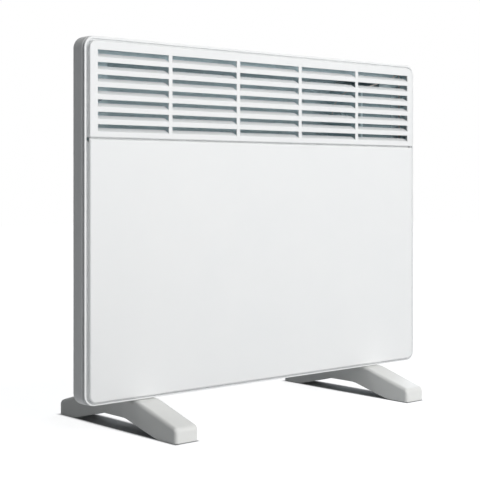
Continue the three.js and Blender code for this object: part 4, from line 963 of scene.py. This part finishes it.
KNOB_RADIUS = 18
KNOB_LENGTH = 17
FLUTES = 10
FLUTE_HALF_ANGLE = 7.5
FLUTE_DEPTH = 1.1
SHAFT_RADIUS = 3
SHAFT_FLAT = 1.8
SHAFT_REACH = 16
KNOB_HOLLOW = 7
POINTER_RADIUS = 7.8
POINTER_SIZE = (9.6, 1.8)
POINTER_PROUD = 0.8
INLAY_SIZE = (8.4, 0.9)
TARNISH_CLOUD = 6 * MM

# Drawn copper: warm, satin, a little darker where it has tarnished.
copper, tree, where = new_material("drawn_copper")
tarnish = add(tree, "ShaderNodeTexNoise", {"Vector": where, "Scale": 1 / TARNISH_CLOUD, "Detail": 3.0})
shade = add(tree, "ShaderNodeMix", {"Factor": tarnish.outputs["Fac"], "A": linear("#c77f5b"),
                                    "B": linear("#8f5a41")}, data_type="RGBA")
metal = add(tree, "ShaderNodeBsdfPrincipled", {"Base Color": shade.outputs["Result"], "Metallic": 1.0,
                                               "Roughness": 0.35})
add(tree, "ShaderNodeOutputMaterial", {"Surface": metal.outputs[0]})

dressed("thermostat_body", black_moulding)
dressed("thermostat_shaft", zinc_plate)
dressed("sensor_bulb", copper)
# The capillary is tinned, as grey and bright as the plated parts beside it.
dressed("capillary_tube", zinc_plate)

knob_base = plate_face + 1
knob_face = knob_base + KNOB_LENGTH


def knob_ring(x, radius, dip, sides=200):
    """A ring of the knob, drawn in at its flutes by up to dip."""
    ring = []
    for i in range(sides):
        degrees = 360 * i / sides
        from_flute = (degrees % (360 / FLUTES)) - 180 / FLUTES
        share = max(0, 1 - (from_flute / FLUTE_HALF_ANGLE) ** 2)
        reach = radius - dip * share
        a = math.radians(degrees)
        ring.append(place(x, CONTROL_DEPTH + reach * math.cos(a), KNOB_Z + reach * math.sin(a)))
    return ring


skirt_rings = [(knob_base, KNOB_RADIUS - 0.6), (knob_base + 0.2, KNOB_RADIUS - 0.2),
               (knob_base + 0.6, KNOB_RADIUS), (knob_base + 1.8, KNOB_RADIUS),
               (knob_base + 2.4, KNOB_RADIUS - 0.25), (knob_base + 2.9, KNOB_RADIUS - 1)]
grip_rings = [(knob_base + 3.4, 14.9, 0), (knob_base + 4, 14.5, 0), (knob_base + 4.8, 14.42, FLUTE_DEPTH),
              (knob_face - 2.6, 13.85, FLUTE_DEPTH), (knob_face - 1.6, 13.6, FLUTE_DEPTH),
              (knob_face - 0.8, 13.1, 0.9), (knob_face - 0.25, 12.3, 0.5), (knob_face, 11.2, 0),
              (knob_face, 8, 0)]
knob = lofted("fluted_knob", [knob_ring(x, r, 0) for x, r in skirt_rings]
              + [knob_ring(x, r, dip) for x, r, dip in grip_rings])


def knob_bar(name, size, x_span):
    """A bar with round ends on the knob's face, straight above the shaft."""
    ring = long_hole(KNOB_Z + POINTER_RADIUS, CONTROL_DEPTH, *size)
    return lofted(name, [[place(x, y, z) for z, y in ring] for x in x_span])


worked(knob, "UNION", knob_bar("pointer", POINTER_SIZE, (knob_face - 1.5, knob_face + POINTER_PROUD)))
flat_half = math.degrees(math.acos((SHAFT_FLAT + GAP) / (SHAFT_RADIUS + GAP)))
bore_ring = arc(CONTROL_DEPTH, KNOB_Z, SHAFT_RADIUS + GAP, 90 + flat_half, 450 - flat_half, 30)
bore = lofted("bore", [[place(x, y, z) for y, z in bore_ring]
                       for x in (knob_base - 1, WALL_X + SHAFT_REACH + GAP)])
worked(knob, "DIFFERENCE", bore)
drilled(knob, KNOB_HOLLOW, (knob_base - 1, knob_base + 3.6), about_x(CONTROL_DEPTH, KNOB_Z), 40)
finished(knob, white_abs, "thermostat_dial", ["thermostat_knob"], edge=0.15, turn=40)

inlay_base = knob_face + POINTER_PROUD + 0.01
inlay = knob_bar("pointer_inlay", INLAY_SIZE, (inlay_base, inlay_base + PRINT))
finished(inlay, grey_print, "thermostat_dial", [])


# ---- Switches ------------------------------------------------------------------------------------
# Two snap-in rocker switches of black nylon, one for each heat. The housing has a bezel outside and two
# tabs behind; the rocker is two flats that meet at a low ridge, printed with a bar and a ring.

SWITCH_BEZEL = (15.4, 21.6)
SWITCH_WELL = (10.4, 16.8)
SWITCH_BACK = WALL_X - 17
ROCKER_TILT = math.radians(11)
ROCKER_PIVOT = WALL_X - 1.5
ROCKER_RIDGE = 9.2
ROCKER_END = (6.6, 7.9)
ROCKER_PIN = 1.2
ROCKER_PIN_HOLE = 1.5
TAB_RISE = 5.5
TAB_LENGTH = 7.5
TAB_HALF_WIDTH = 3.1
BAR_SPAN = (2.6, 5.2)
RING_RADII = (1.5, 1.0)
RING_DROP = 3.9

white_print = grained("white_pad_print", "#e8e8e6", "#dededb", 0.5, 0.4 * MM, 0.002 * MM)
bezel_face = plate_face + GAP + 2


def tipped(y, z, x, height):
    """A point of a rocker, given about its pivot, with the rocker tipped as it stands at rest."""
    turned_x = x * math.cos(ROCKER_TILT) + z * math.sin(ROCKER_TILT)
    turned_z = z * math.cos(ROCKER_TILT) - x * math.sin(ROCKER_TILT)
    return place(ROCKER_PIVOT + turned_x, CONTROL_DEPTH + y, height + turned_z)


def switch_housing(name, height):
    centre = (CONTROL_DEPTH, height)
    piece = wall_plate(f"housing_{name}", centre, SWITCH_BODY, 0.6,
                       [(SWITCH_BACK, 0), (plate_face + 1, 0)], 3)
    bezel = wall_plate("bezel", centre, SWITCH_BEZEL, 1.4,
                       [(plate_face + GAP, 0), (bezel_face - 0.8, 0), (bezel_face - 0.25, 0.2),
                        (bezel_face, 0.75)])
    worked(piece, "UNION", bezel)
    for offset in (-TAB_RISE, TAB_RISE):
        tab = block("tab", (SWITCH_BACK - TAB_LENGTH, SWITCH_BACK + 0.5),
                    (CONTROL_DEPTH - TAB_HALF_WIDTH, CONTROL_DEPTH + TAB_HALF_WIDTH),
                    (height + offset - 0.4, height + offset + 0.4))
        worked(piece, "UNION", tab)
    well = wall_plate("well", centre, SWITCH_WELL, 0.5, [(ROCKER_PIVOT - 8, 0), (plate_face + 4, 0)], 3)
    worked(piece, "DIFFERENCE", well)
    drilled(piece, ROCKER_PIN_HOLE, (-6, 6),
            lambda y, u, v: place(ROCKER_PIVOT + u, CONTROL_DEPTH + y, height + v))
    finished(piece, black_moulding, "heater", [f"switch_housing_{name}"])


def rocker(name, height):
    half = SWITCH_WELL[0] / 2 - GAP
    end_z, end_x = ROCKER_END
    dish = 0.35
    face = [(0, ROCKER_RIDGE), (end_z * 0.3, ROCKER_RIDGE - 0.39 - dish * 0.8),
            (end_z * 0.65, ROCKER_RIDGE - 0.85 - dish), (end_z, end_x)]
    section = ([(z, x) for z, x in face] + [(7.2, 2), (2.6, -3), (-2.6, -3), (-7.2, 2)]
               + [(-z, x) for z, x in face[:0:-1]])
    piece = lofted(f"rocker_{name}", [[tipped(y, z, x, height) for z, x in section] for y in (-half, half)])
    pin = turned("pin", [(-half - 0.7, ROCKER_PIN), (half + 0.7, ROCKER_PIN)], 20,
                 lambda y, u, v: tipped(y, u, v, height))
    worked(piece, "UNION", pin)
    finished(piece, black_moulding, f"{name}_rocker", [f"switch_rocker_{name}"],
             edge=0.3, turn=25)


def rocker_marks(name, height):
    """A bar on the upper flat and a ring on the lower, printed a little proud."""
    lift = ROCKER_RIDGE - 1.13
    under, over = 0.02, 0.02 + PRINT
    outer, inner = RING_RADII
    bar = square((-MARK_HALF_WIDTH, MARK_HALF_WIDTH), BAR_SPAN)
    piece = lofted(f"rocker_marks_{name}", [[tipped(y, z, x + lift, height) for y, z in bar]
                                            for x in (under, over)])
    circle = [(radius * math.cos(a), radius * math.sin(a) - RING_DROP, x) for radius, x in
              ((outer, under), (outer, over), (inner, over), (inner, under))
              for a in (math.radians(12 * i) for i in range(30))]
    rings = [[tipped(y, z, x + lift, height) for y, z, x in circle[30 * k:30 * k + 30]] for k in range(4)]
    worked(piece, "UNION", lofted("ring", rings, closed=True))
    finished(piece, white_print, f"{name}_rocker", [])


for switch_name, switch_height in SWITCH_HEIGHTS.items():
    switch_housing(switch_name, switch_height)
    rocker(switch_name, switch_height)
    rocker_marks(switch_name, switch_height)


# ---- Cable inlet and wiring ----------------------------------------------------------------------
# A black nylon bush for the mains cable low in the right-hand wall, a three-pole ceramic terminal block
# behind it, and leads in pale silicone sleeving to the cut-out and to both ends of the element.

BUSH_BORE = 3.6
BUSH_REACH = 9

collar_back = WALL_X - SHEET - 5
bush_profile = [(collar_back, 7.6), (collar_back + 0.4, 8), (WALL_X - SHEET - GAP, 8),
                (WALL_X - SHEET - GAP + 0.01, BUSH_RADIUS), (WALL_X + GAP - 0.01, BUSH_RADIUS),
                (WALL_X + GAP, 8.8), (WALL_X + GAP + 0.3, 9), (WALL_X + 2, 9), (WALL_X + 2.6, 8.6),
                (WALL_X + 5, 7.5), (WALL_X + BUSH_REACH - 0.6, 6.3), (WALL_X + BUSH_REACH, 5.6)]
bush = turned("inlet_bush", bush_profile, 48, about_x(BUSH_DEPTH, BUSH_Z))
drilled(bush, BUSH_BORE, (collar_back - 1, WALL_X + BUSH_REACH + 1), about_x(BUSH_DEPTH, BUSH_Z), 40)
finished(bush, black_moulding, "heater", ["cable_bush"])

# Silicone-coated glass sleeving: matt, pale and faintly pink, with the braid just showing through.
sleeving = grained("silicone_sleeving", "#f1e6df", "#e6d8cf", 0.62, 0.7 * MM, 0.03 * MM)
dressed("cutout_lead", sleeving)
# The other leads have the same sleeving in a pale blue-grey.
grey_sleeving = grained("grey_silicone_sleeving", "#c6d2d6", "#b6c4c9", 0.62, 0.7 * MM, 0.03 * MM)
for node in ("element_lead_left", "element_lead_right", "supply_lead"):
    dressed(node, grey_sleeving)
dressed("terminal_block", steatite)


# ---- Feet ----------------------------------------------------------------------------------------
# Two cross feet, each one hollow moulding in off-white ABS with soft edges: flat where the casing stands
# on it, falling to both ends, arched underneath and stiffened by ribs. Two screws hold it from below.

FLOOR_CLEARANCE = rim_low.z / MM
FOOT_LENGTH = (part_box("foot_left")[1].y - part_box("foot_left")[0].y) / MM
FOOT_WIDTH = (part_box("foot_left")[1].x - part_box("foot_left")[0].x) / MM
FOOT_WALL = 2.4
FOOT_FLAT = 44
FOOT_END_HEIGHT = 17.4
FOOT_EDGE = 5
FOOT_BEND = 5
ARCH_START = 94.5
ARCH_FLAT = 24
ARCH_HEIGHT = 18.4
ARCH_BEND = 6
PAD_LENGTH = 26
PAD_THICKNESS = 3.4
PAD_PROUD = 1
FOOT_SCREW_SEAT = 36
FOOT_SCREW_WELL = 4.8
FOOT_SCREW = (4.2, 2.4, 1.6, 12)
RIB_HALF = 0.9
RIB_Y = 70
END_RIB_Y = 111
BOSS_RADIUS = 6.5
BOSS_BOTTOM = 30

# Off-white ABS with a fine eroded texture: satin, so that the long slopes shade softly. The real grain is
# about 0.2 mm; it is drawn at 0.9 mm.
foot_abs = grained("off_white_textured_abs", "#eeefed", "#e8e9e7", 0.46, 0.9 * MM, 0.012 * MM)


def eased(distance, bend):
    """Zero up to a bend and then rising one for one, with the bend rounded over its own length."""
    if distance <= -bend:
        return 0
    if distance >= bend:
        return distance
    return (distance + bend) ** 2 / (4 * bend)


def foot_top(y):
    flat_top = FLOOR_CLEARANCE - GAP
    slope = (flat_top - FOOT_END_HEIGHT) / (FOOT_LENGTH / 2 - FOOT_FLAT)
    return flat_top - eased(abs(y) - FOOT_FLAT - FOOT_BEND, FOOT_BEND) * slope


def foot_arch(y):
    rise = (ARCH_HEIGHT - PAD_PROUD) / (ARCH_START - ARCH_FLAT)
    climb = eased(ARCH_START - abs(y) - ARCH_BEND, ARCH_BEND) - eased(ARCH_FLAT - abs(y), ARCH_BEND)
    return PAD_PROUD + max(0, climb) * rise


def foot_ring(x, y, inset, bottom):
    """A cross-section of the foot with round upper edges, drawn in by inset for the hollow."""
    short = max(FOOT_EDGE - (FOOT_LENGTH / 2 - abs(y)), 0)
    pinch = FOOT_EDGE - math.sqrt(max(FOOT_EDGE ** 2 - short ** 2, 0))
    half = FOOT_WIDTH / 2 - inset - pinch
    top = foot_top(y) - inset - pinch
    radius = FOOT_EDGE - inset
    ring = [(-half, bottom), (half, bottom)]
    ring += arc(half - radius, top - radius, radius, 0, 90, 8)
    ring += arc(radius - half, top - radius, radius, 90, 180, 8)
    return [((x + u) * MM, y * MM, v * MM) for u, v in ring]


def stations(end):
    """Places along a foot, close together at its ends and at its bends."""
    near_end = [end - FOOT_EDGE * (1 - math.cos(math.radians(15 * i))) for i in range(7)]
    bends = [centre + bend * (i / 3 - 1) for centre, bend in (
        (ARCH_START - ARCH_BEND, ARCH_BEND), (FOOT_FLAT + FOOT_BEND, FOOT_BEND), (ARCH_FLAT, ARCH_BEND))
        for i in range(6, -1, -1)]
    half = near_end + bends
    return [-y for y in half] + half[::-1]


def foot_shell(name, x):
    end = FOOT_LENGTH / 2
    half = FOOT_WIDTH / 2
    pad_top = PAD_THICKNESS + GAP

    def rib(half_width, y_span, bottom):
        """A rib that stands from a height up to the casing, in the floor's mm."""
        ring = square((x - half_width, x + half_width), y_span)
        return lofted("rib", [[(u * MM, y * MM, z * MM) for u, y in ring] for z in (bottom, FLOOR_CLEARANCE)])

    def upright(depth):
        """Places (height, u, v) about the upright axis of a foot screw."""
        return lambda z, u, v: ((x + u) * MM, rim_low.y + (depth + v) * MM, z * MM)

    outer = lofted(f"cross_foot_{name}", [foot_ring(x, y, 0, foot_arch(y)) for y in stations(end)])
    hollow = lofted("hollow", [foot_ring(x, y, FOOT_WALL, -1) for y in stations(end - FOOT_WALL)])
    ribs = rib(half, (-RIB_HALF, RIB_HALF), foot_arch(0) + 4)
    for y in (-RIB_Y, RIB_Y):
        worked(ribs, "UNION", rib(half, (y - RIB_HALF, y + RIB_HALF), foot_arch(y) + 4))
    for side in (-1, 1):
        worked(ribs, "UNION", rib(1, sorted((side * (ARCH_START + 2), side * (end - 1))), pad_top))
        for y in (side * (ARCH_START + 2), side * END_RIB_Y):
            worked(ribs, "UNION", rib(half, (y - 1, y + 1), pad_top))
    for depth in FOOT_SCREW_DEPTHS:
        boss = [(BOSS_BOTTOM, BOSS_RADIUS), (FLOOR_CLEARANCE - 1, BOSS_RADIUS)]
        worked(ribs, "UNION", turned("boss", boss, 40, upright(depth)))
    envelope = outer.copy()
    envelope.data = outer.data.copy()
    scene.collection.objects.link(envelope)
    worked(ribs, "INTERSECT", envelope)
    worked(outer, "DIFFERENCE", hollow)
    worked(outer, "UNION", ribs)
    for depth in FOOT_SCREW_DEPTHS:
        for radius, top in ((FOOT_SCREW_HOLE, FLOOR_CLEARANCE + 1), (FOOT_SCREW_WELL, FOOT_SCREW_SEAT)):
            drilled(outer, radius, (20, top), upright(depth), 32)
    finished(outer, foot_abs, "heater", [f"foot_{name}"], turn=40)


# Nitrile rubber pads: dead matt, near black, with a dusty grain.
pad_rubber = grained("black_nitrile_rubber", "#2e2e30", "#3a3a3b", 0.85, 0.6 * MM, 0.03 * MM)


def floor_pad(name, x, y):
    """A rubber pad let into the end of a foot, standing a little proud of it."""
    half_width = FOOT_WIDTH / 2 - FOOT_WALL - GAP
    rings = []
    for z, inset in ((0, 0.6), (0.15, 0.2), (0.5, 0), (PAD_THICKNESS, 0)):
        ring = rounded(x - half_width + inset, x + half_width - inset, y - PAD_LENGTH / 2 + inset,
                       y + PAD_LENGTH / 2 - inset, 3 - inset, 3 - inset, 6)
        rings.append([(u * MM, v * MM, z * MM) for u, v in ring])
    finished(lofted(f"floor_pad_{name}", rings), pad_rubber, "heater", [f"foot_pad_{name}"])


pad_y = FOOT_LENGTH / 2 - FOOT_WALL - GAP - PAD_LENGTH / 2
for foot_name, foot_x in (("left", -foot_centre), ("right", foot_centre)):
    foot_shell(foot_name, foot_x)
    floor_pad(f"{foot_name}_front", foot_x, -pad_y)
    floor_pad(f"{foot_name}_rear", foot_x, pad_y)

foot_screw_spots = [(side * foot_centre * MM, rim_low.y + depth * MM, (FOOT_SCREW_SEAT - GAP) * MM)
                    for side in (-1, 1) for depth in FOOT_SCREW_DEPTHS]
foot_screws = copied_to("foot_screws", foot_screw_spots, pan_head_screw(*FOOT_SCREW), (0, 0, 0), 3,
                        zinc_plate)
finished(foot_screws, zinc_plate, "heater",
         [f"foot_screw_{side}_{end}" for side in ("left", "right") for end in ("front", "rear")])
